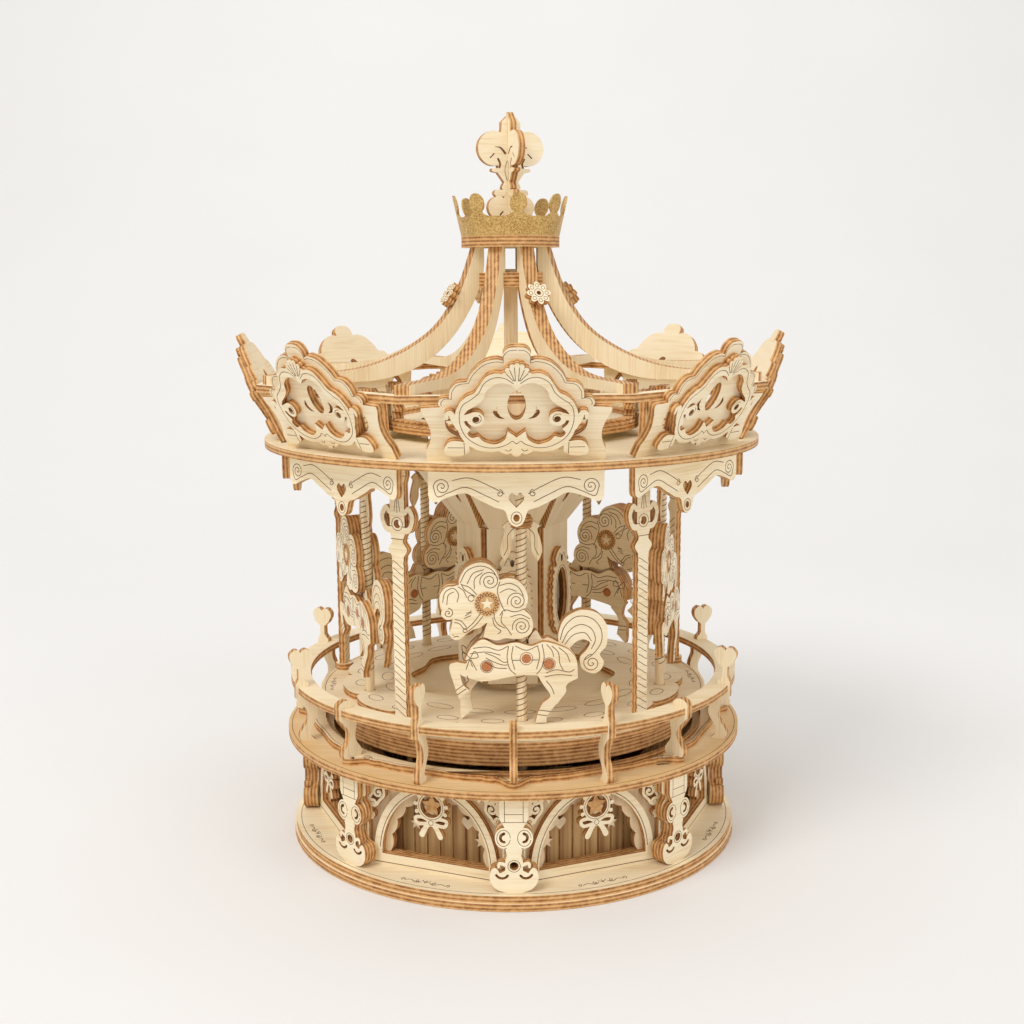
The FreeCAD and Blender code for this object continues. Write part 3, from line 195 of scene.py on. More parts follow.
class Fret:
    """A distance map of one flat piece: below zero is wood. Pieces are added and cut."""

    def __init__(self, x0, y0, x1, y1, step=0.22):
        self.x = np.arange(x0, x1 + step, step)
        self.y = np.arange(y0, y1 + step, step)
        self.gx, self.gy = np.meshgrid(self.x, self.y)
        self.map = np.full(self.gx.shape, 50.0)

    def of_shape(self, points):
        """Signed distance to a closed outline."""
        pts = np.array(points)
        best = np.full(self.gx.shape, 1e9)
        inside = np.zeros(self.gx.shape, bool)
        for (ax, ay), (bx, by) in zip(pts, np.roll(pts, -1, axis=0)):
            ex, ey = bx - ax, by - ay
            wx, wy = self.gx - ax, self.gy - ay
            t = np.clip((wx * ex + wy * ey) / max(ex * ex + ey * ey, 1e-12), 0, 1)
            best = np.minimum(best, np.hypot(wx - t * ex, wy - t * ey))
            if ay != by:
                crosses = (ay > self.gy) != (by > self.gy)
                inside ^= crosses & (self.gx < ax + (self.gy - ay) * ex / ey)
        return np.where(inside, -best, best)

    def of_stroke(self, points, r0, r1=None):
        """Signed distance to a band along the points, its half width going from r0 to r1."""
        r1 = r0 if r1 is None else r1
        best = np.full(self.gx.shape, 1e9)
        count = max(len(points) - 1, 1)
        for k, ((ax, ay), (bx, by)) in enumerate(zip(points, points[1:])):
            ex, ey = bx - ax, by - ay
            wx, wy = self.gx - ax, self.gy - ay
            t = np.clip((wx * ex + wy * ey) / max(ex * ex + ey * ey, 1e-12), 0, 1)
            radius = r0 + (r1 - r0) * (k + t) / count
            best = np.minimum(best, np.hypot(wx - t * ex, wy - t * ey) - radius)
        return best

    def add(self, points):
        self.map = np.minimum(self.map, self.of_shape(points))
        return self

    def cut(self, points):
        self.map = np.maximum(self.map, -self.of_shape(points))
        return self

    def add_stroke(self, points, r0, r1=None, both=False):
        for path in ([points, flipped(points)] if both else [points]):
            self.map = np.minimum(self.map, self.of_stroke(path, r0, r1))
        return self

    def cut_stroke(self, points, r0, r1=None, both=False):
        for path in ([points, flipped(points)] if both else [points]):
            self.map = np.maximum(self.map, -self.of_stroke(path, r0, r1))
        return self

    def loops(self, at=0.0, least=6):
        """Closed outlines where the distance equals a value."""
        field = self.map - at
        inside = field < 0
        links = {}
        cells = np.argwhere((inside[:-1, :-1] != inside[1:, :-1]) | (inside[:-1, :-1] != inside[:-1,
            1:]) | (inside[:-1, :-1] != inside[1:, 1:]))
        for j, i in cells:
            corners = [inside[j, i], inside[j, i + 1], inside[j + 1, i + 1], inside[j + 1, i]]
            sides = [("h", j, i), ("v", j, i + 1), ("h", j + 1, i), ("v", j, i)]
            crossed = [k for k in range(4) if corners[k] != corners[(k + 1) % 4]]
            if len(crossed) == 2:
                pairs = [crossed]
            elif len(crossed) == 4:
                middle = field[j:j + 2, i:i + 2].mean() < 0
                pairs = [(0, 1), (2, 3)] if middle != corners[0] else [(0, 3), (1, 2)]
            else:
                continue
            for a, b in pairs:
                links.setdefault(sides[a], []).append(sides[b])
                links.setdefault(sides[b], []).append(sides[a])
        found = []
        while links:
            first = next(iter(links))
            chain = [first]
            here = first
            while links.get(here):
                onward = links[here].pop()
                links[onward].remove(here)
                if not links[here]:
                    del links[here]
                here = onward
                if here == first:
                    break
                chain.append(here)
            links.pop(here, None)
            if len(chain) >= least:
                found.append(simplified([self.crossing(field, side) for side in chain]))
        return [loop for loop in found if len(loop) > 3]

    def crossing(self, field, side):
        kind, j, i = side
        j2, i2 = (j, i + 1) if kind == "h" else (j + 1, i)
        a, b = field[j, i], field[j2, i2]
        s = a / (a - b) if a != b else 0.5
        return (self.x[i] + s * (self.x[i2] - self.x[i]), self.y[j] + s * (self.y[j2] - self.y[j]))


def simplified(points, tolerance=0.035):
    """The same closed line with fewer points."""
    pts = np.array(points)
    if len(pts) < 8:
        return [tuple(p) for p in pts]
    keep = np.zeros(len(pts), bool)
    far = int(np.argmax(np.hypot(*(pts - pts[0]).T)))
    stack = [(0, far), (far, len(pts) - 1)]
    keep[[0, far, len(pts) - 1]] = True
    while stack:
        a, b = stack.pop()
        if b - a < 2:
            continue
        base = pts[b] - pts[a]
        length = max(np.hypot(*base), 1e-9)
        rest = pts[a + 1:b] - pts[a]
        off = np.abs(base[0] * rest[:, 1] - base[1] * rest[:, 0]) / length
        worst = int(np.argmax(off))
        if off[worst] > tolerance:
            keep[a + 1 + worst] = True
            stack.extend([(a, a + 1 + worst), (a + 1 + worst, b)])
    return [tuple(p) for p in pts[keep]]


# ---------------------------------------------------------------- places

def facing(angle, radius, z, lean=0.0, spin=0.0):
    """Place of a plate that faces outward at an angle from the front; its own z points out."""
    a = math.radians(lean)
    tilt = Matrix(((1, 0, 0), (0, -math.sin(a), -math.cos(a)), (0, math.cos(a), -math.sin(a)))).to_4x4()
    turn = Matrix.Rotation(math.radians(angle), 4, "Z")
    return turn @ Matrix.Translation((0, -radius, z)) @ tilt @ Matrix.Rotation(math.radians(spin), 4, "Z")


def lying(z, angle=0.0):
    return Matrix.Rotation(math.radians(angle), 4, "Z") @ Matrix.Translation((0, 0, z))


def round_eight(first, count=PANELS):
    """Angles evenly spaced round the axis."""
    return [first + 360.0 / count * k for k in range(count)]


def horse_angle(k):
    return HORSE_ANGLE + 360.0 / HORSES * k


def facing_all(first, radius, z, lean=0.0, count=PANELS):
    """Places of evenly spaced plates that face outward."""
    return [facing(angle, radius, z, lean) for angle in round_eight(first, count)]


# ---------------------------------------------------------------- mesh building

class Builder:
    """Collects closed solids into one mesh, with each point's place on its own sheet of wood."""

    def __init__(self, name):
        self.name = name
        self.verts = []
        self.faces = []
        self.slots = []
        self.sheet = []

    def put(self, verts, faces, slots, sheet, place):
        start = len(self.verts)
        self.verts.extend(place @ Vector(v) for v in verts)
        self.faces.extend(tuple(start + i for i in face) for face in faces)
        self.slots.extend(slots)
        shift = (random.uniform(-400, 400), random.uniform(-400, 400), 0.0)
        self.sheet.extend((s[0] + shift[0], s[1] + shift[1], s[2]) for s in sheet)

    def plate(self, loops, thickness, places, base=0.0):
        """Flat plate cut to the loops, at each place; its back lies at base."""
        verts, faces, slots = extruded(loops, thickness)
        sheet = verts
        lifted = [(x, y, z + base) for x, y, z in verts]
        for place in places:
            self.put(lifted, faces, slots, sheet, place)
        return self

    def engrave(self, paths, top, places, width=0.3, closed=False):
        """Burnt line along each path, a hair proud of the face at height top."""
        for path in paths:
            line = ribbon(path, top, width, closed)
            for place in places:
                self.solid(line, 2, place)
        return self

    def solid(self, shape, slot, place, sheet=None):
        """Closed solid, given as its points and faces, in one material slot."""
        verts, faces = shape
        self.put(verts, faces, [slot] * len(faces), sheet or verts, place)

    def build(self, materials):
        mesh = bpy.data.meshes.new(self.name)
        mesh.from_pydata([tuple(c * MM for c in v) for v in self.verts], [], self.faces)
        mesh.polygons.foreach_set("material_index", self.slots)
        layer = mesh.attributes.new("sheet", "FLOAT_VECTOR", "POINT")
        layer.data.foreach_set("vector", [c for s in self.sheet for c in s])
        for material in materials:
            mesh.materials.append(material)
        mesh.validate()
        mesh.update()
        obj = bpy.data.objects.new(self.name, mesh)
        bpy.context.scene.collection.objects.link(obj)
        return obj


def extruded(loops, thickness):
    """Closed solid from outlines; inner loops are holes. Slot 0 is the face and 1 the cut edge."""
    curve = bpy.data.curves.new("cut", "CURVE")
    curve.dimensions = "2D"
    curve.fill_mode = "BOTH"
    curve.extrude = thickness / 2
    for loop in loops:
        spline = curve.splines.new("POLY")
        spline.points.add(len(loop) - 1)
        spline.points.foreach_set("co", [c for x, y in loop for c in (x, y, 0.0, 1.0)])
        spline.use_cyclic_u = True
    holder = bpy.data.objects.new("cut", curve)
    bpy.context.scene.collection.objects.link(holder)
    graph = bpy.context.evaluated_depsgraph_get()
    mesh = bpy.data.meshes.new_from_object(holder.evaluated_get(graph))
    bm = bmesh.new()
    bm.from_mesh(mesh)
    bmesh.ops.remove_doubles(bm, verts=bm.verts, dist=0.001)
    bmesh.ops.recalc_face_normals(bm, faces=bm.faces)
    verts = [(v.co.x, v.co.y, v.co.z + thickness / 2) for v in bm.verts]
    faces = [tuple(v.index for v in f.verts) for f in bm.faces]
    bm.normal_update()
    slots = [0 if abs(f.normal.z) > 0.5 else 1 for f in bm.faces]
    bm.free()
    bpy.data.objects.remove(holder)
    bpy.data.curves.remove(curve)
    bpy.data.meshes.remove(mesh)
    return verts, faces, slots


def bar_faces(count, closed=False):
    """Faces of a bar with four corners at each of its points, capped unless it is closed."""
    faces = []
    for k in range(count if closed else count - 1):
        a, b = 4 * k, 4 * ((k + 1) % count)
        for i in range(4):
            j = (i + 1) % 4
            faces.append((a + i, b + i, b + j, a + j))
    if not closed:
        faces.append((0, 1, 2, 3))
        faces.append(tuple(4 * (count - 1) + i for i in (3, 2, 1, 0)))
    return faces


def ribbon(path, top, width, closed=False):
    """Thin closed bar along a path in the sheet's plane, half sunk in the face."""
    pts = [np.array(p, float) for p in path]
    if closed and np.hypot(*(pts[0] - pts[-1])) < 1e-6:
        pts = pts[:-1]
    count = len(pts)
    verts = []
    for k, p in enumerate(pts):
        before = pts[(k - 1) % count] if closed or k else p
        after = pts[(k + 1) % count] if closed or k < count - 1 else p
        along = after - before
        along = along / max(np.hypot(*along), 1e-9)
        side = np.array([-along[1], along[0]]) * width / 2
        for sx, z in ((1, top - 0.05), (1, top + 0.03), (-1, top + 0.03), (-1, top - 0.05)):
            verts.append((p[0] + sx * side[0], p[1] + sx * side[1], z))
    return verts, bar_faces(count, closed)


def helix_bar(radius, z0, z1, pitch, start, width=0.35, hand=1):
    """Closed bar winding round an upright rod, a hair proud of it."""
    turns = (z1 - z0) / pitch
    count = max(int(abs(turns) * 22), 3)
    verts = []
    for k in range(count + 1):
        z = z0 + (z1 - z0) * k / count
        angle = start + hand * 2 * math.pi * turns * k / count
        c, s = math.cos(angle), math.sin(angle)
        for r, dz in ((radius - 0.1, -width / 2), (radius + 0.05, -width / 2), (radius + 0.05, width / 2),
                (radius - 0.1, width / 2)):
            verts.append((r * c, r * s, z + dz))
    return verts, bar_faces(count + 1)


def lathe(profile, count=40):
    """Closed turned solid from r, z points that start and end on the axis."""
    verts = []
    faces = []
    for r, z in profile:
        for k in range(count):
            a = 2 * math.pi * k / count
            verts.append((r * math.cos(a), r * math.sin(a), z))
    rows = len(profile)
    for j in range(rows - 1):
        for k in range(count):
            n = (k + 1) % count
            faces.append((j * count + k, j * count + n, (j + 1) * count + n, (j + 1) * count + k))
    faces.append(tuple(range(count))[::-1])
    faces.append(tuple((rows - 1) * count + k for k in range(count)))
    return verts, faces


# ---------------------------------------------------------------- materials

def srgb(r, g, b):
    """Linear colour of an sRGB one in 0..255."""
    out = []
    for c in (r, g, b):
        c = c / 255
        out.append(c / 12.92 if c <= 0.04045 else ((c + 0.055) / 1.055) ** 2.4)
    return (*out, 1.0)


PALE = srgb(247, 230, 195)
PALE_DARK = srgb(233, 206, 160)
EDGE_LIGHT = srgb(214, 164, 104)
EDGE_DARK = srgb(108, 64, 30)


class Nodes:
    """Small helper to write shader nodes in a line each."""

    def __init__(self, name, roughness=0.6):
        self.material = bpy.data.materials.new(name)
        self.material.use_nodes = True
        self.tree = self.material.node_tree
        self.shader = self.tree.nodes["Principled BSDF"]
        self.shader.inputs["Roughness"].default_value = roughness

    def node(self, kind, inputs=None, **settings):
        item = self.tree.nodes.new(kind)
        for key, value in settings.items():
            setattr(item, key, value)
        for key, value in (inputs or {}).items():
            self.feed(item.inputs[key], value)
        return item

    def feed(self, socket, value):
        if isinstance(value, bpy.types.NodeSocket):
            self.tree.links.new(value, socket)
        else:
            socket.default_value = value

    def math(self, operation, a, b=0.0, clamp=False):
        item = self.node("ShaderNodeMath", {0: a, 1: b}, operation=operation)
        item.use_clamp = clamp
        return item.outputs[0]

    def mix(self, factor, a, b):
        item = self.node("ShaderNodeMix", {"Factor": factor}, data_type="RGBA")
        self.feed(item.inputs[6], a)
        self.feed(item.inputs[7], b)
        return item.outputs[2]

    def noise(self, vector, scale, detail=4.0, rough=0.55):
        item = self.node("ShaderNodeTexNoise", {"Vector": vector, "Scale": scale, "Detail": detail,
            "Roughness": rough})
        return item.outputs["Fac"]

    def stretch(self, vector, x, y, z):
        return self.vector("MULTIPLY", vector, (x, y, z))

    def ramp(self, value, stops):
        item = self.node("ShaderNodeValToRGB", {"Fac": value})
        elements = item.color_ramp.elements
        while len(elements) < len(stops):
            elements.new(0.5)
        for element, (place, colour) in zip(elements, stops):
            element.position = place
            element.color = colour
        return item.outputs["Color"]

    def vector(self, operation, a, b=(0.0, 0.0, 0.0), out=0):
        return self.node("ShaderNodeVectorMath", {0: a, 1: b}, operation=operation).outputs[out]

    def parts(self, vector):
        return self.node("ShaderNodeSeparateXYZ", {0: vector}).outputs

    def joined(self, x, y, z=0.0):
        return self.node("ShaderNodeCombineXYZ", {"X": x, "Y": y, "Z": z}).outputs[0]

    def coords(self, kind="Object"):
        return self.node("ShaderNodeTexCoord").outputs[kind]

    def object_place(self):
        """Place on the object in millimetres."""
        return self.stretch(self.coords(), 1000.0, 1000.0, 1000.0)

    def colour(self, value):
        self.feed(self.shader.inputs["Base Color"], value)

    def roughness(self, value):
        self.feed(self.shader.inputs["Roughness"], value)

    def bump(self, height, strength, distance):
        item = self.node("ShaderNodeBump", {"Height": height, "Strength": strength, "Distance": distance})
        self.feed(self.shader.inputs["Normal"], item.outputs[0])


def sheet_place(n):
    """A point's place on its own sheet of wood, in millimetres."""
    return n.node("ShaderNodeAttribute", attribute_name="sheet").outputs["Vector"]


def wood_face(n, place, painted_shade=0.0):
    """Pale birch face: long soft grain, fine pores and slow colour drift."""
    drift = n.noise(n.stretch(place, 0.02, 0.05, 0.05), 1.0, 3.0)
    grain = n.noise(n.stretch(place, 0.05, 1.1, 1.1), 1.0, 6.0, 0.6)
    pores = n.noise(n.stretch(place, 0.5, 5.0, 5.0), 1.0, 3.0, 0.7)
    blend = n.math("ADD", n.math("MULTIPLY", grain, 0.62), n.math("MULTIPLY", drift, 0.5))
    colour = n.ramp(blend, [(0.38, PALE_DARK), (0.56, PALE), (0.75, srgb(252, 238, 208))])
    pore_mask = n.math("MULTIPLY", n.math("GREATER_THAN", pores, 0.66), 0.16)
    colour = n.mix(pore_mask, colour, srgb(198, 158, 106))
    # Painted shade: a darker warm brown tint, mixed in by the given amount, for pieces that sit in shade
    # (slat wall, arch liners and cranks, rim top).
    if painted_shade:
        band = n.noise(n.stretch(place, 0.01, 0.3, 0.3), 1.0, 1.0)
        tint = n.ramp(band, [(0.35, srgb(176, 130, 82)), (0.6, srgb(222, 184, 126))])
        colour = n.mix(painted_shade, colour, tint)
    height = n.math("ADD", n.math("MULTIPLY", grain, 0.6), n.math("MULTIPLY", pores, 0.4))
    return colour, height


def wood_edge(n, place, depth):
    """Laser-burnt edge of plywood: glue lines across the thickness and charred streaks."""
    streak = n.noise(n.stretch(place, 0.35, 0.35, 0.35), 1.0, 5.0, 0.65)
    lines = n.noise(n.stretch(place, 0.1, 0.1, 1.0), 1.0, 2.0)
    layer = n.math("SINE", n.math("MULTIPLY", n.math("ADD", depth, n.math("MULTIPLY", lines, 0.35)), 4.19))
    layer = n.math("MULTIPLY", n.math("ADD", layer, 1.0), 0.5)
    blend = n.math("ADD", n.math("MULTIPLY", layer, 0.3), n.math("MULTIPLY", streak, 0.72))
    colour = n.ramp(blend, [(0.22, EDGE_DARK), (0.4, srgb(172, 118, 64)), (0.58, EDGE_LIGHT),
        (0.8, srgb(232, 190, 134))])
    return colour, blend


def plate_face_material(name, painted_shade=0.0):
    n = Nodes(name, 0.58)
    colour, height = wood_face(n, sheet_place(n), painted_shade)
    n.colour(colour)
    n.bump(height, 0.25, 0.00012)
    return n.material


def plate_edge_material(name):
    n = Nodes(name, 0.66)
    place = sheet_place(n)
    depth = n.parts(place)["Z"]
    colour, height = wood_edge(n, place, depth)
    n.colour(colour)
    n.bump(height, 0.4, 0.00015)
    return n.material


def burn_material(name):
    n = Nodes(name, 0.8)
    place = sheet_place(n)
    tone = n.noise(n.stretch(place, 0.8, 0.8, 0.8), 1.0, 3.0)
    colour = n.ramp(tone, [(0.35, srgb(74, 42, 22)), (0.7, srgb(134, 88, 50))])
    n.colour(colour)
    n.bump(tone, 0.3, 0.00005)
    return n.material


def framed_wood(name, mode, painted_shade=0.0):
    """Plywood for frame pieces: the sheet's faces and edges are told apart by the surface's direction."""
    n = Nodes(name, 0.6)
    place = n.object_place()
    split = n.parts(place)
    across = n.joined(split["X"], split["Y"])
    out = n.vector("NORMALIZE", across)
    normal = n.coords("Normal")
    radius = n.vector("LENGTH", across, out="Value")
    if mode == "flat":
        toward = n.parts(normal)["Z"]
        depth = split["Z"]
        sheet = place
    elif mode == "facing":
        toward = n.vector("DOT_PRODUCT", normal, out, "Value")
        depth = radius
        angle = n.math("ARCTAN2", split["X"], split["Y"])
        sheet = n.joined(split["Z"], n.math("MULTIPLY", angle, 80.0))
    else:
        side = n.vector("CROSS_PRODUCT", out, (0, 0, 1))
        toward = n.vector("DOT_PRODUCT", normal, side, "Value")
        depth = split["X"]
        sheet = n.joined(split["Z"], radius, radius)
    is_face = n.math("GREATER_THAN", n.math("ABSOLUTE", toward), 0.68)
    face, face_height = wood_face(n, sheet, painted_shade)
    edge, edge_height = wood_edge(n, place, depth)
    n.colour(n.mix(is_face, edge, face))
    height = n.math("ADD", n.math("MULTIPLY", is_face, face_height),
        n.math("MULTIPLY", n.math("SUBTRACT", 1.0, is_face), edge_height))
    n.bump(height, 0.3, 0.00012)
    return n


def dowel_material(name):
    """Round birch rod, grain along its length."""
    n = Nodes(name, 0.5)
    place = n.object_place()
    grain = n.noise(n.stretch(place, 1.4, 1.4, 0.06), 1.0, 5.0, 0.6)
    fine = n.noise(n.stretch(place, 6.0, 6.0, 0.4), 1.0, 3.0, 0.6)
    colour = n.ramp(grain, [(0.3, srgb(222, 188, 136)), (0.55, srgb(243, 222, 182)),
        (0.8, srgb(250, 236, 204))])
    n.colour(colour)
    n.bump(fine, 0.25, 0.0001)
    return n.material


def metal_material(name, colour, roughness, metallic=1.0):
    """Brushed metal with fine scratches and slow tarnish."""
    n = Nodes(name, roughness)
    n.shader.inputs["Metallic"].default_value = metallic
    place = n.object_place()
    brush = n.noise(n.stretch(place, 0.3, 9.0, 9.0), 1.0, 3.0, 0.6)
    tarnish = n.noise(place, 0.25, 4.0, 0.6)
    dark = tuple(0.72 * c for c in colour[:3]) + (1.0,)
    n.colour(n.mix(n.math("MULTIPLY", tarnish, 0.8), colour, dark))
    rough = n.math("ADD", n.math("MULTIPLY", brush, 0.22), roughness - 0.08)
    n.roughness(rough)
    n.bump(brush, 0.12, 0.00005)
    return n.material


def gilt_material(name):
    """Gold paper with a fine glitter of light and dark specks."""
    n = Nodes(name, 0.42)
    n.shader.inputs["Metallic"].default_value = 0.55
    place = sheet_place(n)
    specks = n.node("ShaderNodeTexVoronoi", {"Vector": place, "Scale": 2.6}).outputs["Color"]
    tone = n.parts(specks)["X"]
    cloud = n.noise(place, 0.16, 4.0, 0.6)
    blend = n.math("ADD", n.math("MULTIPLY", tone, 0.6), n.math("MULTIPLY", cloud, 0.5))
    colour = n.ramp(blend, [(0.2, srgb(158, 120, 62)), (0.5, srgb(200, 160, 92)), (0.8, srgb(230, 198, 132))])
    n.colour(colour)
    n.roughness(n.math("ADD", n.math("MULTIPLY", tone, 0.3), 0.28))
    n.bump(tone, 0.35, 0.0001)
    return n.material


def mirror_material(name):
    n = Nodes(name, 0.12)
    n.shader.inputs["Metallic"].default_value = 1.0
    haze = n.noise(n.object_place(), 0.3, 4.0, 0.6)
    colour = n.ramp(haze, [(0.3, srgb(104, 84, 66)), (0.7, srgb(150, 128, 104))])
    n.colour(colour)
    n.roughness(n.math("ADD", n.math("MULTIPLY", haze, 0.2), 0.05))
    return n.material


def peg_material(name):
    """End of a brown-stained dowel."""
    n = Nodes(name, 0.55)
    place = sheet_place(n)
    grain = n.noise(n.stretch(place, 0.7, 3.2, 0.4), 1.0, 5.0, 0.65)
    colour = n.ramp(grain, [(0.3, srgb(150, 84, 46)), (0.5, srgb(190, 118, 70)), (0.72, srgb(216, 152, 100))])
    n.colour(colour)
    n.bump(grain, 0.35, 0.0001)
    return n.material


def rim_shade_material(name):
    """Rim plate: pale ply whose top is painted with golden ochre shade towards the edge."""
    n = framed_wood(name, "flat", 0.15)
    plain = n.shader.inputs["Base Color"].links[0].from_socket
    flat = n.stretch(n.coords(), 1000.0, 1000.0, 0.0)
    radius = n.vector("LENGTH", flat, out="Value")
    cloud = n.noise(flat, 0.12, 4.0)
    reach = n.math("DIVIDE", n.math("SUBTRACT", radius, 86.0), 12.0, clamp=True)
    rim_shade = n.math("MULTIPLY", reach, n.math("ADD", n.math("MULTIPLY", cloud, 0.5), 0.45), clamp=True)
    rim_shade = n.math("MULTIPLY", rim_shade, n.math("GREATER_THAN", n.parts(n.coords("Normal"))["Z"], 0.5))
    # Painted shade: golden ochre on the top face only, stronger towards the outer edge.
    n.colour(n.mix(rim_shade, plain, srgb(222, 176, 104)))
    return n.material


FACE = plate_face_material("birch_face")
EDGE = plate_edge_material("burnt_ply_edge")
LINE = burn_material("burnt_line")
PLATE = [FACE, EDGE, LINE]
FLAT = framed_wood("ply_flat", "flat").material
FACING = framed_wood("ply_facing", "facing").material
# Painted shade: facing plywood with a warm brown shade tint, for the arch liners and cranks that stand in
# shade.
SHADED = framed_wood("ply_facing_painted_shade", "facing", 0.35).material
RADIAL = framed_wood("ply_radial", "radial").material
DOWEL = dowel_material("birch_dowel")
STEEL = metal_material("movement_steel", srgb(176, 176, 178), 0.34)
BRASS = metal_material("movement_brass", srgb(206, 168, 92), 0.32)
GILT = gilt_material("gilt_paper")
MIRROR = mirror_material("mirror_film")
PEG = peg_material("stained_peg")
# Painted shade: the slat wall gets the full warm brown shade tint, for the shade deep inside the base.
SLATS = framed_wood("ply_slats", "facing", 1.0).material
RIM = rim_shade_material("ply_rim_painted_shade")


def finish_node(node, material):
    """Give a frame piece that is shown as it is its material."""
    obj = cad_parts[node]
    obj.data.materials.clear()
    obj.data.materials.append(material)


def stand_in(builder, node, body, materials=PLATE):
    """Build a detailed piece that replaces a frame node."""
    obj = builder.build(materials)
    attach(obj, body)
    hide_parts(node)
    return obj


def extra(builder, body, materials=PLATE):
    """Build a detail that rides with a body beside the frame's own pieces."""
    obj = builder.build(materials)
    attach(obj, body)
    return obj


# ---------------------------------------------------------------- base

WALL = RIM_BOTTOM - FLOOR_TOP
SILL = 5.0
ARCH_HALF = 23.6
ARCH_RISE = WALL - SILL - 5.8
PANEL_HALF = (PANEL_INRADIUS - PLY) * math.tan(math.radians(HALF_STEP)) - 2.7


def arch_curve(grow=0.0, low=SILL, count=36):
    """Right foot to left foot of the arch, grown outward by a margin."""
    return [((ARCH_HALF + grow) * math.cos(math.pi * k / count),
        low + (ARCH_RISE + SILL - low + grow) * math.sin(math.pi * k / count)) for k in range(count + 1)]


def build_arch_panels():
    """Arched wall panels with scroll fretwork in the corners."""
    fret = Fret(-PANEL_HALF - 1, -1, PANEL_HALF + 1, WALL + 1, 0.2)
    fret.add(rectangle(-PANEL_HALF, 0, PANEL_HALF, WALL))
    edge = PANEL_HALF - 0.9
    band = [(x, y) for x, y in arch_curve(3.6) if 0 < x < edge and y < WALL - 0.9]
    corner = [(edge, band[0][1])] + band + [(band[-1][0], WALL - 0.9), (edge, WALL - 0.9)]
    fret.cut(corner).cut(flipped(corner))
    scrolls = [spiral(17.6, WALL - 2.6, 2.1, 1.35, 250, -1), spiral(24.9, WALL - 8.9, 2.3, 1.35, 100, -1),
        spiral(27.4, WALL - 13.8, 1.7, 1.2, 60, 1), spiral(13.9, WALL - 1.5, 1.1, 1.1, 200, 1),
        spiral(28.0, WALL - 18.6, 1.2, 1.1, 60, 1)]
    for path in scrolls:
        fret.add_stroke(path, 0.62, 0.42, both=True)
    for path in curves([(19.6, WALL - 1), (20.6, WALL - 4.0), (19.4, WALL - 6.4)],
            [(29, WALL - 5), (27.4, WALL - 8), (28.6, WALL - 11)],
            [(22.6, WALL - 6.6), (22.4, WALL - 9.8), (24.6, WALL - 12.4), (25.6, WALL - 14)],
            [(29.2, WALL - 12), (29.0, WALL - 16), (27.8, WALL - 20)]):
        fret.add_stroke(path, 0.6, both=True)
    for side in (1, -1):
        fret.add(ring_points(side * 24.0, WALL - 3.9, 3.2, 3.2))
        fret.cut(heart_points(side * 24.0, WALL - 5.8, 3.6))
    fret.cut(arch_curve())
    panels = Builder("arch_panels_fret")
    places = facing_all(HALF_STEP, PANEL_INRADIUS - PLY, FLOOR_TOP)
    panels.plate(fret.loops(), PLY, places)
    inner_line = arch_curve(0.9)[1:-1]
    panels.engrave([inner_line, [(-PANEL_HALF, 1.3), (PANEL_HALF, 1.3)]], PLY, places)
    stand_in(panels, "arch_panels", "base")


def build_wall_charms():
    """Small hearts and stars that hang in front of the slats."""
    charms = Builder("wall_charms")
    inradius = PANEL_INRADIUS - 4 * PLY + 0.1
    for turn_number, angle in enumerate(round_eight(HALF_STEP)):
        hand = 1 if turn_number % 2 else -1
        place = [facing(angle, inradius, FLOOR_TOP)]
        charms.plate([star_points(hand * -12.4, 16.0, 2.9)], PLY, place)
        charms.plate([star_points(hand * 16.4, 12.4, 3.0)], PLY, place)
        charms.plate([heart_points(hand * 10.6, 16.6, 5.2)], PLY, place)
        charms.plate([heart_points(hand * -6.2, 19.4, 5.2)], PLY, place)
    extra(charms, "base")


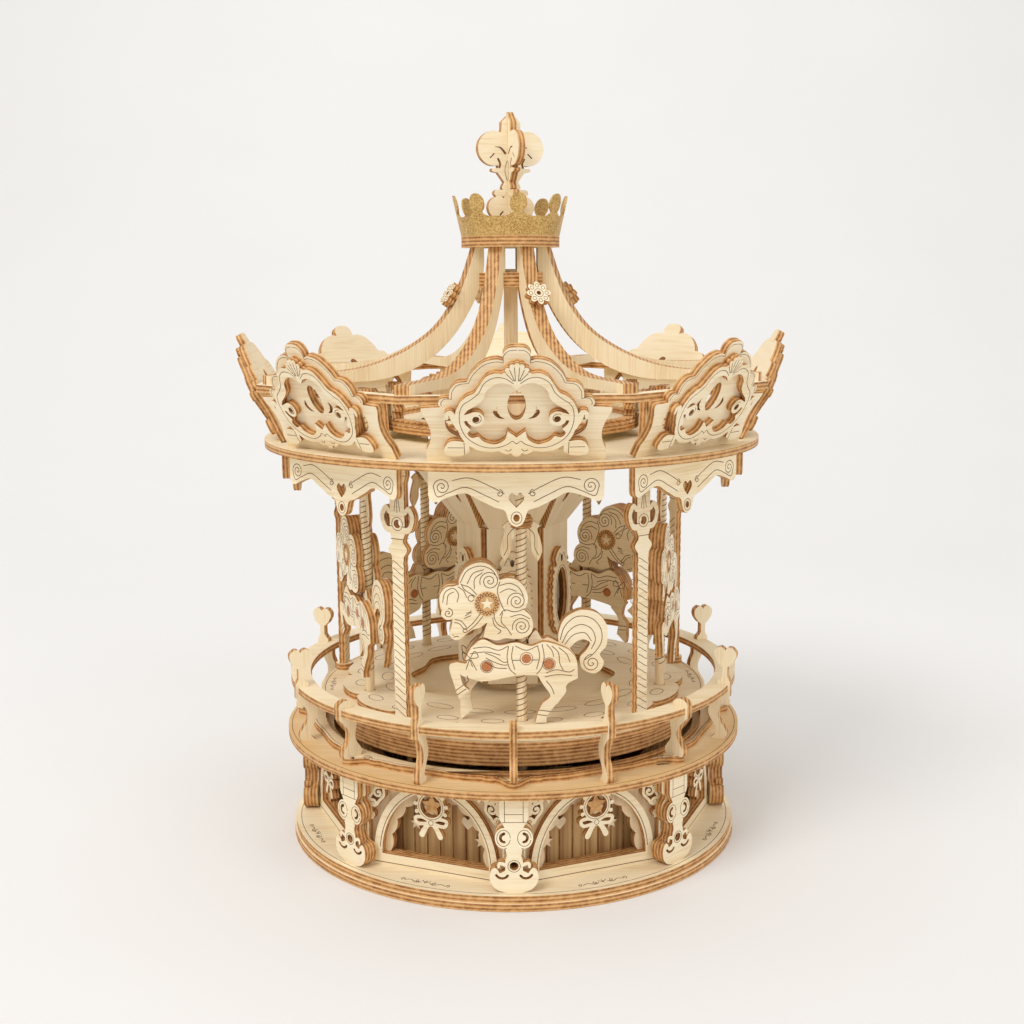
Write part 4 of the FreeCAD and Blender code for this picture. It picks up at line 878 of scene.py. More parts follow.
def build_pilasters():
    """Two-ply pilasters: bowl, ringed boss, volutes and capital."""
    back = mirror_shape((0, 0), [(3, 0)], [(6.4, 1.0), (8.9, 3.6), (9.5, 7), (8.4, 9.6), (6.2, 10.2),
        (4.4, 11)], [(3.4, 13.6), (3.2, 16.4)], [(5.4, 18.4), (7.4, 21.6), (6.6, 25.6), (4.8, 27.4)],
        [(4.8, 29), (6.8, 30.4), (7, 33), (7, WALL)], [(0, WALL)])
    front = Fret(-11, -1, 11, WALL + 1, 0.14)
    front.add(mirror_shape((0, 0), [(3, 0)], [(6.4, 1.0), (8.9, 3.6), (9.5, 7), (8.7, 9.4), (7.4, 10.2),
        (6.2, 9.2)], [(5.6, 8.0), (4.4, 8.4), (3.4, 9)], [(3.4, 13), (2.8, 15.2), (3.4, 17.6)], [(0, 20)]))
    front.add(ring_points(0, 10.8, 3.0))
    for side in (1, -1):
        front.add(ring_points(side * 4.0, 22.2, 3.4, 4.2))
        front.add_stroke(smooth(handed(side, (3.6, 11.4), (5.6, 12.0), (6.0, 10.4))), 0.75, 0.5)
        front.cut_stroke(smooth(handed(side, (2.5, 6.9), (3.3, 6.1), (4.6, 5.8), (6.0, 6.2), (6.9, 7.1))),
            0.5)
        front.cut_stroke(smooth(handed(side, (3.9, 24.0), (4.9, 23.4), (5.2, 22.2), (4.7, 21.0),
            (3.7, 20.6))), 0.62, 0.5)
    front.add([(-2.6, 15), (2.6, 15), (3.4, 26), (4.6, 28.4), (-4.6, 28.4), (-3.4, 26)])
    front.add([(-4.8, 28.4), (4.8, 28.4), (5.6, 30.2), (5.6, WALL), (-5.6, WALL), (-5.6, 30.2)])
    front.cut(ring_points(0, 10.8, 1.75))
    pilasters = Builder("base_pilasters_carved")
    corner = math.radians(HALF_STEP)
    reach = PANEL_INRADIUS * math.cos(corner) + PANEL_HALF * math.sin(corner) + 0.05
    places = facing_all(0.0, reach, FLOOR_TOP)
    pilasters.plate([back, ring_points(0, 10.8, 1.75)], PLY, places)
    pilasters.plate(front.loops(), PLY, places, base=PLY)
    top = 2 * PLY
    pilasters.engrave([ring_points(0, 10.8, 2.4)], top, places, 0.22, closed=True)
    for side in (1, -1):
        pilasters.engrave([ring_points(side * 4.0, 22.2, 2.6, 3.3), handed(side, (3.6, 28.6), (3.6, WALL))],
            top, places, 0.22)
    pilasters.engrave([[(-4.7, 28.6), (4.7, 28.6)], [(-3.6, 31.8), (3.6, 31.8)]], top, places, 0.22)
    stand_in(pilasters, "base_pilasters", "base")


def build_medallions():
    """Ringed star over a ribbon bow, at the top of each arch."""
    fret = Fret(-9, -15, 9, 7, 0.13)
    fret.add(ring_points(0, 0, 6.0))
    for x, y in ((6.7, 0.6), (6.2, -2.6), (5.2, 4.0)):
        fret.add(ring_points(x, y, 0.85)).add(ring_points(-x, y, 0.85))
    fret.cut(ring_points(0, 0, 4.6))
    fret.add(ring_points(0, -6.7, 1.5))
    for side in (1, -1):
        bow = [(0, -6.5), (side * 3.4, -4.8), (side * 6.8, -5.3), (side * 5.6, -7.6), (0, -6.9)]
        fret.add_stroke(smooth(bow), 0.72)
        fret.add_stroke(smooth(handed(side, (0.6, -7.0), (2.4, -9.0), (4.0, -12.0))), 0.8, 1.2)
    medals = Builder("medallions_carved")
    places = facing_all(HALF_STEP, PANEL_INRADIUS, RIM_BOTTOM - 10.2)
    medals.plate(fret.loops(), PLY, places)
    medals.engrave([ring_points(0, 0, 5.3), ring_points(0, -6.7, 1.0, 1.0, 14)], PLY, places, 0.2,
        closed=True)
    stars = Builder("medallion_stars")
    stars.plate([star_points(0, 0, 4.8, 0.48)], 1.4, places, base=0.6)
    extra(stars, "base", [EDGE, EDGE, LINE])
    stand_in(medals, "medallions", "base")


def knot_paths(x, y, hand):
    """Small curling leaf beside a knot."""
    return [spiral(x + hand * 6.2, y, 1.9, 1.3, 180 if hand > 0 else 0, -hand),
        smooth([(x + hand * 3.0, y + 1.2), (x + hand * 5.6, y + 2.4), (x + hand * 9.0, y + 1.0)])]


def build_lace_ring():
    """Scalloped ring on the rim with an eye-shaped knot at each corner."""
    outer = []
    inner = 87.4
    steps = 40
    for k in range(PANELS * steps):
        share = k / steps
        near = abs(share - round(share))
        knot = 9.0 * math.exp(-(near / 0.072) ** 2) + 1.5 * math.exp(-((near - 0.135) / 0.03) ** 2)
        ripple = 1.4 * (0.5 - 0.5 * math.cos(4 * math.pi * share))
        radius = inner + knot + ripple
        angle = math.radians(360.0 / PANELS * share)
        outer.append((radius * math.sin(angle), -radius * math.cos(angle)))
    ring = Builder("lace_ring_knots")
    loops = [outer, ring_points(0, 0, 83.4, count=160)]
    eyes = []
    leaves = []
    for angle in round_eight(0.0):
        eye = smooth([(-3.4, -93.4), (0, -94.8), (3.4, -93.4), (0, -92.0), (-3.4, -93.4)], 5)[:-1]
        eyes.append(turned(eye, angle))
        for hand in (1, -1):
            leaves.extend(turned(path, angle) for path in knot_paths(0, -89.6, hand))
    place = [lying(RIM_TOP)]
    ring.plate(loops + eyes, PLY, place)
    ring.engrave(leaves, PLY, place, 0.26)
    inset = [(0.988 * x, 0.988 * y) for x, y in outer]
    ring.engrave([inset], PLY, place, 0.22, closed=True)
    stand_in(ring, "lace_ring", "base")


def scroll_mark(x, y, s):
    """Flat curling ornament with a little flower between two tendrils."""
    paths = []
    for side in (1, -1):
        paths += [smooth([(x + side * s * 1.6, y), (x + side * s * 3.4, y - s * 0.9),
            (x + side * s * 5.6, y + s * 0.5), (x + side * s * 7.8, y - s * 0.3)]),
            spiral(x + side * s * 8.3, y + s * 0.3, s * 0.9, 1.1, -90, side),
            spiral(x + side * s * 2.9, y + s * 0.2, s * 0.9, 1.1, 90, -side),
            [(x, y), (x + side * s * 1.6, y + s * 1.3)]]
    paths.append([(x, y - 0.6 * s), (x, y + s * 1.6)])
    return paths


def build_plinth_marks():
    """Burnt scrolls and lines on the plinth round the walls."""
    marks = Builder("plinth_marks")
    place = [lying(FLOOR_TOP)]
    for angle in round_eight(HALF_STEP):
        paths = [turned(path, angle) for path in scroll_mark(0, -91.6, 1.15)]
        marks.engrave(paths, 0.0, place, 0.34)
    marks.engrave([ring_points(0, 0, 95.4, count=180)], 0.0, place, 0.24, closed=True)
    extra(marks, "base")


def build_rail_marks():
    """Burnt line round the edge of the rim."""
    marks = Builder("rim_marks")
    place = [lying(RIM_TOP)]
    marks.engrave([ring_points(0, 0, 98.2, count=180)], 0.0, place, 0.24, closed=True)
    extra(marks, "base")


# ---------------------------------------------------------------- drum

def build_mirror_frames():
    """Carved looking-glass frames on the drum."""
    middle = 68.0 * 0.56
    shape = mirror_shape((0, middle - 19), [(4.6, middle - 16), (7.4, middle - 8), (7.9, middle),
        (6.9, middle + 9), (4.4, middle + 13.4)],
        [(5.4, middle + 16), (2.8, middle + 19.4), (0, middle + 20.4)])
    fret = Fret(-10, middle - 21, 10, middle + 22, 0.15)
    fret.add(shape)
    for k in range(9):
        y = middle - 13 + 3.1 * k
        x = 7.7 * math.sqrt(max(1 - ((y - middle) / 21.0) ** 2, 0.05))
        fret.add(ring_points(x, y, 0.95)).add(ring_points(-x, y, 0.95))
    fret.cut(ring_points(0, middle - 1, 5.0, 12.5))
    fret.cut(ring_points(0, middle + 15.6, 0.9, 1.6))
    fret.cut(ring_points(0, middle - 16.2, 0.8, 1.2))
    frames = Builder("mirror_frames_carved")
    places = facing_all(0.0, DRUM_INRADIUS, DRUM_BOTTOM, count=6)
    frames.plate(fret.loops(), PLY, places)
    frames.engrave([ring_points(0, middle - 1, 5.8, 13.4)], PLY, places, 0.22, closed=True)
    frames.engrave([smooth([(-3.4, middle + 14.6), (-1.6, middle + 17.8), (0, middle + 14.2),
        (1.6, middle + 17.8), (3.4, middle + 14.6)])], PLY, places, 0.22)
    stand_in(frames, "mirror_frames", "base")


# ---------------------------------------------------------------- platform

def build_deck_lace():
    """Petal-edged ornament layer with engraved ovals, and burnt scrolls on the deck's rim."""
    edge = []
    inner = []
    for k in range(360):
        angle = 2 * math.pi * k / 360
        out = 71.6 + 4.0 * math.sqrt(abs(math.cos(7.5 * angle)))
        edge.append((out * math.cos(angle), out * math.sin(angle)))
        into = 44.0 + 1.6 * math.cos(10 * angle)
        inner.append((into * math.cos(angle), into * math.sin(angle)))
    holes = [turned(ring_points(0, -HORSE_CIRCLE, POLE_RADIUS + 0.3), horse_angle(k))
        for k in range(HORSES)]
    place = [lying(DECK_TOP)]
    lace = Builder("deck_lace_petals")
    lace.plate([simplified(edge), simplified(inner)] + holes, PLY, place)
    outer_oval = ring_points(0, -67.6, 4.6, 2.5)
    inner_oval = ring_points(0, -55.6, 6.4, 2.7)
    for k in range(HORSES):
        for oval, offsets in ((outer_oval, (10.0, 26.0, 46.0, 62.0)), (inner_oval, (18.0, 36.0, 54.0, 72.0))):
            for offset in offsets:
                lace.engrave([turned(oval, horse_angle(k) + offset)], PLY, place, 0.28, closed=True)
    stand_in(lace, "deck_lace", "carousel")
    rim = Builder("deck_rim_marks")
    for k in range(2 * HORSES):
        rim.engrave([turned(path, HORSE_ANGLE + 18.0 + 36.0 * k) for path in scroll_mark(0, -80.2, 1.0)],
            0.0, place, 0.28)
    rim.engrave([ring_points(0, 0, DECK_RADIUS - 1.2, count=180)], 0.0, place, 0.24, closed=True)
    extra(rim, "carousel")


def build_columns():
    """Flat columns with a roped stem and a fleur-de-lis head."""
    height = CANOPY_BOTTOM - DECK_TOP
    fret = Fret(-10, -1, 10, height + 1, 0.16)
    stem = [(2.55 + 0.35 * abs(math.sin(math.pi * y / 4.0)), y) for y in np.arange(0, height - 36, 0.5)]
    fret.add(stem + [(-x, y) for x, y in reversed(stem)])
    h = height
    fret.add(mirror_shape((0, h - 38), [(2.8, h - 38)], [(4.6, h - 35), (2.6, h - 32), (3.6, h - 29)],
        [(3.4, h - 9)], [(4.4, h - 6)], [(4.4, h)], [(0, h)]))
    fret.add(ring_points(0, h - 25, 3.6))
    fret.add(smooth([(-2.4, h - 20), (-2.6, h - 17), (0, h - 11.4), (2.6, h - 17), (2.4, h - 20)], 6))
    for side in (1, -1):
        fret.add_stroke(smooth(handed(side, (2.2, h - 27.4), (5.4, h - 27), (7.2, h - 22.4),
            (5.6, h - 18.8), (3.9, h - 20.4))), 1.25, 0.9)
    fret.cut(ring_points(0, h - 25, 1.7))
    columns = Builder("columns_roped")
    first = HORSE_ANGLE + 180.0 / HORSES
    places = facing_all(first, COLUMN_CIRCLE - PLY / 2, DECK_TOP, count=HORSES)
    columns.plate(fret.loops(), PLY, places)
    stripes = [smooth([(-2.5, y + 2.9), (-0.6, y + 1.9), (0.8, y + 0.9), (2.5, y)], 3)
        for y in np.arange(3.0, h - 40, 3.0)]
    heads = [smooth([(-1.4, h - 20), (0, h - 13), (1.4, h - 20)]), [(-4.2, h - 6), (4.2, h - 6)],
        [(-3.2, h - 31), (3.2, h - 31)], [(-3.4, h - 9), (3.4, h - 9)], [(0, h - 20.6), (0, h - 14)]]
    for side in (1, -1):
        heads.append(smooth(handed(side, (2.6, h - 26), (5.2, h - 25.6), (6.2, h - 22.4), (5.2, h - 20.2))))
    for top in (PLY, BACK):
        columns.engrave(stripes + heads, top, places, 0.26)
        columns.engrave([ring_points(0, h - 25, 2.6)], top, places, 0.24, closed=True)
    stand_in(columns, "columns", "carousel")


# ---------------------------------------------------------------- canopy

def build_valance():
    """Hanging boards with a pierced heart, a pendant and engraved scrolls."""
    shape = mirror_shape((0, -21.8), [(2.2, -20.6), (3.3, -18.2), (4.4, -15.6), (8, -14.4)],
        [(14, -11.4), (19, -9), (25, -10.4), (29.6, -12.2), (31.8, -11.4), (32.4, -9.6)], [(32.4, 0)],
        [(0, 0)])
    boards = Builder("valance_scrolled")
    places = facing_all(CANOPY_ANGLE, BOARD_INRADIUS - PLY, CANOPY_BOTTOM)
    loops = [shape, ring_points(0, -18.4, 1.2, 1.4, 20), heart_points(0, -14.6, 5.6)]
    boards.plate(loops, PLY, places)
    lines = []
    for side in (1, -1):
        lines += [spiral(side * 27.4, -6.6, 3.1, 2.0, 180 if side < 0 else 0, side),
            smooth(handed(side, (30.5, -6.6), (29, -10.2), (24.6, -8.6), (18.6, -6.8), (12, -9.6),
            (6.4, -12.4))), smooth(handed(side, (23.6, -4.2), (17, -3.4), (9, -6.8), (4.4, -9.4))),
            spiral(side * 6.2, -9.2, 1.5, 1.2, 90, side)]
    boards.engrave(lines, PLY, places, 0.28)
    boards.engrave([ring_points(0, -18.4, 2.0, 2.3, 24)], PLY, places, 0.22, closed=True)
    stand_in(boards, "valance_boards", "carousel")


BOARD_SHAPE = mirror_shape((0, 0), [(32.7, 0)], [(32.7, 5)],
    [(31.2, 8.6), (30.9, 13), (32.2, 17.4), (34.0, 21.2), (34.2, 23)], [(27.2, 23.4)],
    [(27.9, 25.0), (27.0, 26.8), (25.2, 27.2), (24.0, 26.9)], [(23.6, 30.4), (21.4, 33.2), (17.6, 33.9)],
    [(15.8, 37.6), (12.0, 41.6), (7.6, 43.0), (4.9, 42.5)], [(4.8, 45.4), (3.0, 47.5), (0, 47.9)])


def build_crown_boards():
    """Leaning boards: pierced back plates with a scrolled frame and a shell on them."""
    back = Builder("crown_boards_cut")
    crown_back = BOARD_INRADIUS - PLY * math.cos(math.radians(CROWN_LEAN))
    foot = CANOPY_TOP + PLY * math.sin(math.radians(CROWN_LEAN))
    places = facing_all(CANOPY_ANGLE, crown_back, foot, CROWN_LEAN)
    horn = smooth([(4.0, 18.2), (6.8, 18.8), (8.4, 21.2), (6.9, 23.6)],
        5) + smooth([(6.8, 21.2), (5.8, 19.4)], 3)
    side_cut = smooth([(24.2, 20.6), (25.6, 17.4), (24.6, 13.4), (21.0, 10.8), (18.4, 10.4)], 5)
    side_cut += smooth([(19.6, 13.6), (20.6, 18.0), (22.4, 20.4)], 4)
    loops = [BOARD_SHAPE, ring_points(0, 24, 3.3, 6.2), horn, flipped(horn)[::-1], side_cut,
        flipped(side_cut)[::-1]]
    back.plate(loops, PLY, places)
    inset = [(x * 0.965, 1.0 + y * 0.955) for x, y in BOARD_SHAPE if y > 24]
    back.engrave([inset[:len(inset) // 2], inset[len(inset) // 2:]], PLY, places, 0.2)
    stand_in(back, "crown_boards", "carousel")

    fret = Fret(-28, 2, 28, 47, 0.16)
    fret.add(mirror_shape((0, 3.8), [(1.2, 4.2), (2.0, 5.4), (3.4, 4.8), (4.8, 5.4), (6.4, 6.4)],
        [(9.6, 6.0), (14.0, 6.8), (18.0, 9.4)], [(20.4, 13.6), (21.4, 18.4), (21.8, 23.0), (19.9, 27.6)],
        [(17.6, 29.8), (15.0, 31.2), (13.2, 34.2)], [(11.0, 37.6), (8.0, 39.2), (4.4, 38.8)], [(0, 35.6)]))
    fret.cut(mirror_shape((0, 12.2), [(3.2, 15.0)], [(4.2, 11.4), (7.6, 9.3), (11.6, 10.4), (13.7, 12.8)],
        [(16.0, 12.2), (17.6, 14.0), (16.4, 15.8)], [(18.4, 18.2), (18.9, 21.6), (17.4, 24.0)],
        [(14.4, 26.0), (11.8, 28.6), (10.6, 32.2), (6.8, 35.0), (2.8, 34.8), (0, 32.6)]))
    for side in (1, -1):
        fret.add_stroke(smooth(handed(side, (20.2, 20.6), (18.2, 20.8), (16.4, 21.4))), 1.3)
        fret.add(ring_points(side * 14.65, 20.2, 3.1)).cut(ring_points(side * 14.5, 20.1, 1.25))
        fret.add_stroke(smooth(handed(side, (20.4, 16.6), (22.4, 20.2), (23.4, 22.8), (24.8, 22.4),
            (24.9, 20.6))), 1.3, 0.6)
        fret.add([(side * x, y) for x, y in smooth([(17.0, 6.0), (17.2, 10.2), (19.0, 10.4), (22.4, 10.9),
            (24.8, 10.0), (26.2, 6.8), (25.0, 4.6), (20.4, 4.2), (17.0, 6.0)], 5)[:-1]])
        for x, y in ((4.3, 38.6), (3.3, 40.5), (1.7, 41.9)):
            fret.add_stroke([(side * 0.4, 35.4), (side * x, y)], 0.4, 0.95)
    fret.add_stroke([(0, 35.4), (0, 42.3)], 0.4, 1.0)
    frame_places = facing_all(CANOPY_ANGLE, BOARD_INRADIUS, CANOPY_TOP, CROWN_LEAN)
    scrolls = Builder("crown_cartouches_cut")
    scrolls.plate(fret.loops(), PLY, frame_places)
    lines = []
    for side in (1, -1):
        lines += [smooth([(side * x, y) for x, y in ((0.0, 9.4), (1.6, 10.6), (3.4, 9.2), (7.4, 7.8),
            (12.4, 8.4), (17.4, 11.8), (19.8, 16.4), (20.4, 21.6), (19.2, 26.0), (16.0, 28.6), (13.4, 31.2),
            (11.4, 35.2), (8.0, 37.4), (4.4, 37.2), (1.2, 35.0))]),
            spiral(side * 14.6, 20.1, 2.3, 1.1, 60, side), handed(side, (18.8, 5.0), (18.9, 10.1)),
            handed(side, (19.2, 7.9), (24.8, 8.0)),
            smooth(handed(side, (4.2, 6.9), (2.8, 6.3), (1.8, 7.2))),
            handed(side, (0.5, 36.0), (0.9, 41.6)), handed(side, (0.8, 36.0), (2.6, 40.6)),
            handed(side, (1.2, 36.0), (3.9, 39.2))]
    scrolls.engrave(lines, PLY, frame_places, 0.24)
    stand_in(scrolls, "crown_cartouches", "carousel")


def build_roof_flowers():
    """Four cut flowers on the ribs."""
    petals = []
    for k in range(112):
        a = 2 * math.pi * k / 112
        reach = 3.6 + 1.8 * abs(math.cos(4 * a))
        petals.append((reach * math.cos(a), reach * math.sin(a)))
    flowers = Builder("roof_flowers_cut")
    slope = Matrix.Rotation(math.radians(58.0), 4, "Y")
    places = []
    for k in range(4):
        turn = Matrix.Rotation(math.radians(CANOPY_ANGLE + HALF_STEP - 90.0 + 90.0 * k), 4, "Z")
        places.append(turn @ Matrix.Translation((26.3, 0, CANOPY_TOP + 58.4)) @ slope)
    flowers.plate([petals, ring_points(0, 0, 1.0, count=14)], PLY, places)
    for k in range(8):
        a = math.pi * k / 4
        flowers.engrave([ring_points(3.5 * math.cos(a), 3.5 * math.sin(a), 0.8, count=12)], PLY, places,
            0.2, closed=True)
    flowers.engrave([ring_points(0, 0, 1.9, count=18)], PLY, places, 0.22, closed=True)
    stand_in(flowers, "roof_flowers", "carousel")


def build_finial():
    """Two crossed fleur-de-lis plates, turned a little on the crown."""
    top = high("finial")[2] - CROWN_BOTTOM
    fret = Fret(-16, -1, 16, top + 1, 0.16)
    fret.add(mirror_shape((0, 0), [(6.0, 0)], [(5.4, 8.0)], [(3.2, 16.0), (3.4, 19.1)],
        [(4.2, 20.2), (3.1, 22.4)], [(4.4, 24.2), (5.8, 26.0)], [(5.8, 36.0)], [(4.2, 44.2)], [(4.2, 46.8)],
        [(0, top)]))
    for side in (1, -1):
        fret.add(ring_points(side * 5.7, 12.0, 4.6))
        fret.add_stroke(handed(side, (2.0, 17.9), (6.2, 17.9)), 1.4)
        fret.add_stroke(handed(side, (3.0, 27.0), (8.0, 27.3)), 1.3, 0.7)
        fret.add(ring_points(side * 7.5, 36.1, 7.1, count=56))
        fret.cut_stroke(smooth(handed(side, (6.9, 36.6), (4.6, 36.3), (2.6, 34.2))), 0.25, 0.55)
        fret.cut_stroke(handed(side, (9.2, 32.4), (7.6, 33.9)), 0.3)
        fret.cut_stroke(smooth(handed(side, (5.8, 31.8), (4.9, 30.0), (5.2, 28.4))), 0.45)
        fret.cut_stroke(handed(side, (3.9, 10.2), (5.0, 9.0)), 0.35)
    finial = Builder("finial_lily")
    half = top * 0.5
    slot_half = PLY / 2 + 0.05
    lower_slot = rectangle(-slot_half, -2, slot_half, half)
    upper_slot = rectangle(-slot_half, half, slot_half, top + 2)
    whole = fret.map.copy()
    for slot, spin in ((upper_slot, 0.0), (lower_slot, 90.0)):
        fret.map = whole.copy()
        fret.cut(slot)
        place = [facing(FINIAL_TURN + spin, PLY / -2, CROWN_BOTTOM)]
        finial.plate(fret.loops(), PLY, place)
        for side in (1, -1):
            bud = smooth(handed(side, (1.8, 31.2), (2.8, 27.2), (1.8, 23.0)))
            for top_z in (PLY, BACK):
                finial.engrave([bud], top_z, place, 0.24)
    stand_in(finial, "finial", "carousel")


def bent_sheet(points, rows, foot, slope, wall):
    """Closed sheet on a cone: each column of the grid runs from its low point to its high one."""
    verts = []
    for depth in (0.0, wall):
        for angle, bottom, top in points:
            for j in range(rows + 1):
                v = bottom + (top - bottom) * j / rows
                r = foot + slope * v - depth
                verts.append((r * math.sin(angle), -r * math.cos(angle), v))
    columns = len(points)
    span = rows + 1
    inner = columns * span
    faces = []
    for i in range(columns):
        a, b = i * span, (i + 1) % columns * span
        for j in range(rows):
            faces.append((a + j, b + j, b + j + 1, a + j + 1))
            faces.append((inner + a + j + 1, inner + b + j + 1, inner + b + j, inner + a + j))
        faces.append((a + rows, b + rows, inner + b + rows, inner + a + rows))
        faces.append((a, inner + a, inner + b, b))
    return verts, faces


def build_crown_band():
    """Flaring gilt band with eight round leaves on short necks."""
    height = high("crown_band")[2] - CROWN_BOTTOM
    foot = high("crown_ring")[0]
    slope = (high("crown_band")[0] - foot) / height
    wall = 0.8
    leaf_wide, leaf_tall = 3.6, 4.0
    band = Builder("crown_band_leaves")
    place = lying(CROWN_BOTTOM, LEAF_TURN)
    step = 2 * math.pi / PANELS
    points = []
    for k in range(240):
        angle = 2 * math.pi * k / 240
        off = foot * abs((angle + step / 2) % step - step / 2)
        points.append((angle, 0.0, 7.8 + 3.0 * math.exp(-(off / 2.5) ** 2)))
    verts, faces = bent_sheet(points, 6, foot, slope, wall)
    sheet = [(24.0 * math.atan2(y, x), z, 0.0) for x, y, z in verts]
    band.solid((verts, faces), 0, place, sheet)
    middle = height - leaf_tall
    for k in range(PANELS):
        verts = []
        faces = []
        for depth in (-0.04, wall + 0.04):
            for ring in (1.0, 0.66, 0.33):
                for i in range(32):
                    a = 2 * math.pi * i / 32
                    v = middle + leaf_tall * ring * math.sin(a)
                    r = foot + slope * v - depth
                    turn = k * step + leaf_wide * ring * math.cos(a) / r
                    verts.append((r * math.sin(turn), -r * math.cos(turn), v))
        for i in range(32):
            n = (i + 1) % 32
            for ring in range(2):
                a, b = 32 * ring, 32 * (ring + 1)
                faces.append((a + i, a + n, b + n, b + i))
                faces.append((96 + a + n, 96 + a + i, 96 + b + i, 96 + b + n))
            faces.append((n, i, 96 + i, 96 + n))
        faces.append(tuple(range(64, 96)))
        faces.append(tuple(range(160, 192))[::-1])
        band.solid((verts, faces), 0, place, [(x, z, y) for x, y, z in verts])
    stand_in(band, "crown_band", "carousel", [GILT])


# ---------------------------------------------------------------- horses

HORSE_MIDDLE = [outline((-2.5, 19.5), [(-15, 17.5), (-22, 20), (-22.5, 26), (-16, 35.5), (-14, 39.5),
    (-14.5, 42)], [(-18, 39), (-22.5, 37), (-26, 35), (-28.5, 37), (-27.5, 41.5), (-27, 44.5)],
    [(-29.5, 44), (-31.5, 45.5), (-32.2, 49), (-31.6, 53), (-29.5, 56), (-25, 56.5)],
    [(-24, 60), (-21.5, 63.5), (-16, 65.5), (-11.5, 63.5), (-9, 60), (-8.5, 56.5)],
    [(-7, 58.5), (-4.6, 59)], [(-2.7, 58.8)], [(-2.7, 33.5)]),
    outline((2.7, 33.5), [(5.5, 37), (8, 33.5), (10.5, 34), (14.5, 32)],
    [(14.5, 35.5), (16.5, 41), (20.5, 44), (24.5, 45), (30, 43.5), (33.5, 39), (34, 34.5), (33.5, 30),
    (31, 27), (32.6, 23.5), (31, 20), (28, 19), (24, 21), (23, 25.5), (25.5, 28.5), (27, 31.5), (24.5, 33),
    (21.5, 32), (19, 29.5)], [(21.5, 25.5), (22, 18)], [(17.5, 16.5), (11.5, 17.5), (7, 19.5), (2.7, 20)])]
HORSE_BACK = [(-15.5, 34.5), (-9.5, 32), (-2.5, 33), (3.5, 31.5), (8.5, 33), (14.5, 31.5), (19, 29),
    (21.5, 25), (22, 18)]
HORSE_NEAR = outline((-20, 31.5), HORSE_BACK, [(17.5, 15.5), (17, 12), (12.5, 6.5), (9.5, 2.5)], [(9.5, 0)],
    [(5, 0)], [(6, 4)], [(8, 8), (11, 11), (8, 16), (6, 19.5)],
    [(-2.5, 19.5), (-15, 17.5), (-22.5, 19.5), (-24.5, 20.5)], [(-23.5, 16.5), (-21, 14)], [(-25, 10.5)],
    [(-26, 13), (-27, 16.5), (-28.5, 21.5), (-28.5, 24.5), (-26, 25.5)],
    [(-22, 25), (-22, 27.5), (-20, 31.5)])
HORSE_FAR = outline((-20, 31.5), HORSE_BACK, [(20.5, 16), (18, 12.5), (17, 9)], [(14.5, 5)], [(13.5, 7)],
    [(15.5, 10)], [(14.5, 13.5), (8, 16), (6, 19.5)], [(-2.5, 19.5), (-15, 17.5), (-16.5, 16)],
    [(-18, 14.6), (-20, 12), (-20.5, 9)], [(-19.5, 4)], [(-24, 0)], [(-24.5, 2.5)], [(-24.5, 10)],
    [(-22, 13), (-22.6, 17), (-24, 19)], [(-22.5, 22), (-22, 27.5), (-20, 31.5)])
HORSE_HEAD = outline((-27.8, 35.3), [(-28.4, 37.2), (-27.5, 40.6), (-27.2, 43)],
    [(-29.4, 42.6), (-31.6, 44.4), (-31.3, 46.8)],
    [(-32.2, 49.7), (-31.8, 53), (-29.6, 55.6), (-26.8, 56.0), (-24.6, 56.6)],
    [(-24.2, 59.4), (-21.8, 63.2), (-17.6, 65.2), (-13.6, 64.8), (-10.4, 62.2), (-8.8, 58.2)],
    [(-5.6, 58.9), (-2.0, 58.1), (0.8, 55.4), (2.2, 51.8), (2.0, 48.6), (0.9, 46.0)],
    [(3.4, 43.4), (4.3, 39.6), (3.0, 36.2), (-0.4, 34.5)],
    [(-3.4, 34.4), (-6.4, 34.8), (-10.4, 34.0), (-15.2, 35.5)], [(-14.6, 38.4), (-13.7, 41.3)],
    [(-16.4, 39.4), (-19.6, 38.4), (-22.2, 36.6), (-24.2, 34.9), (-26.2, 34.5), (-27.8, 35.3)])

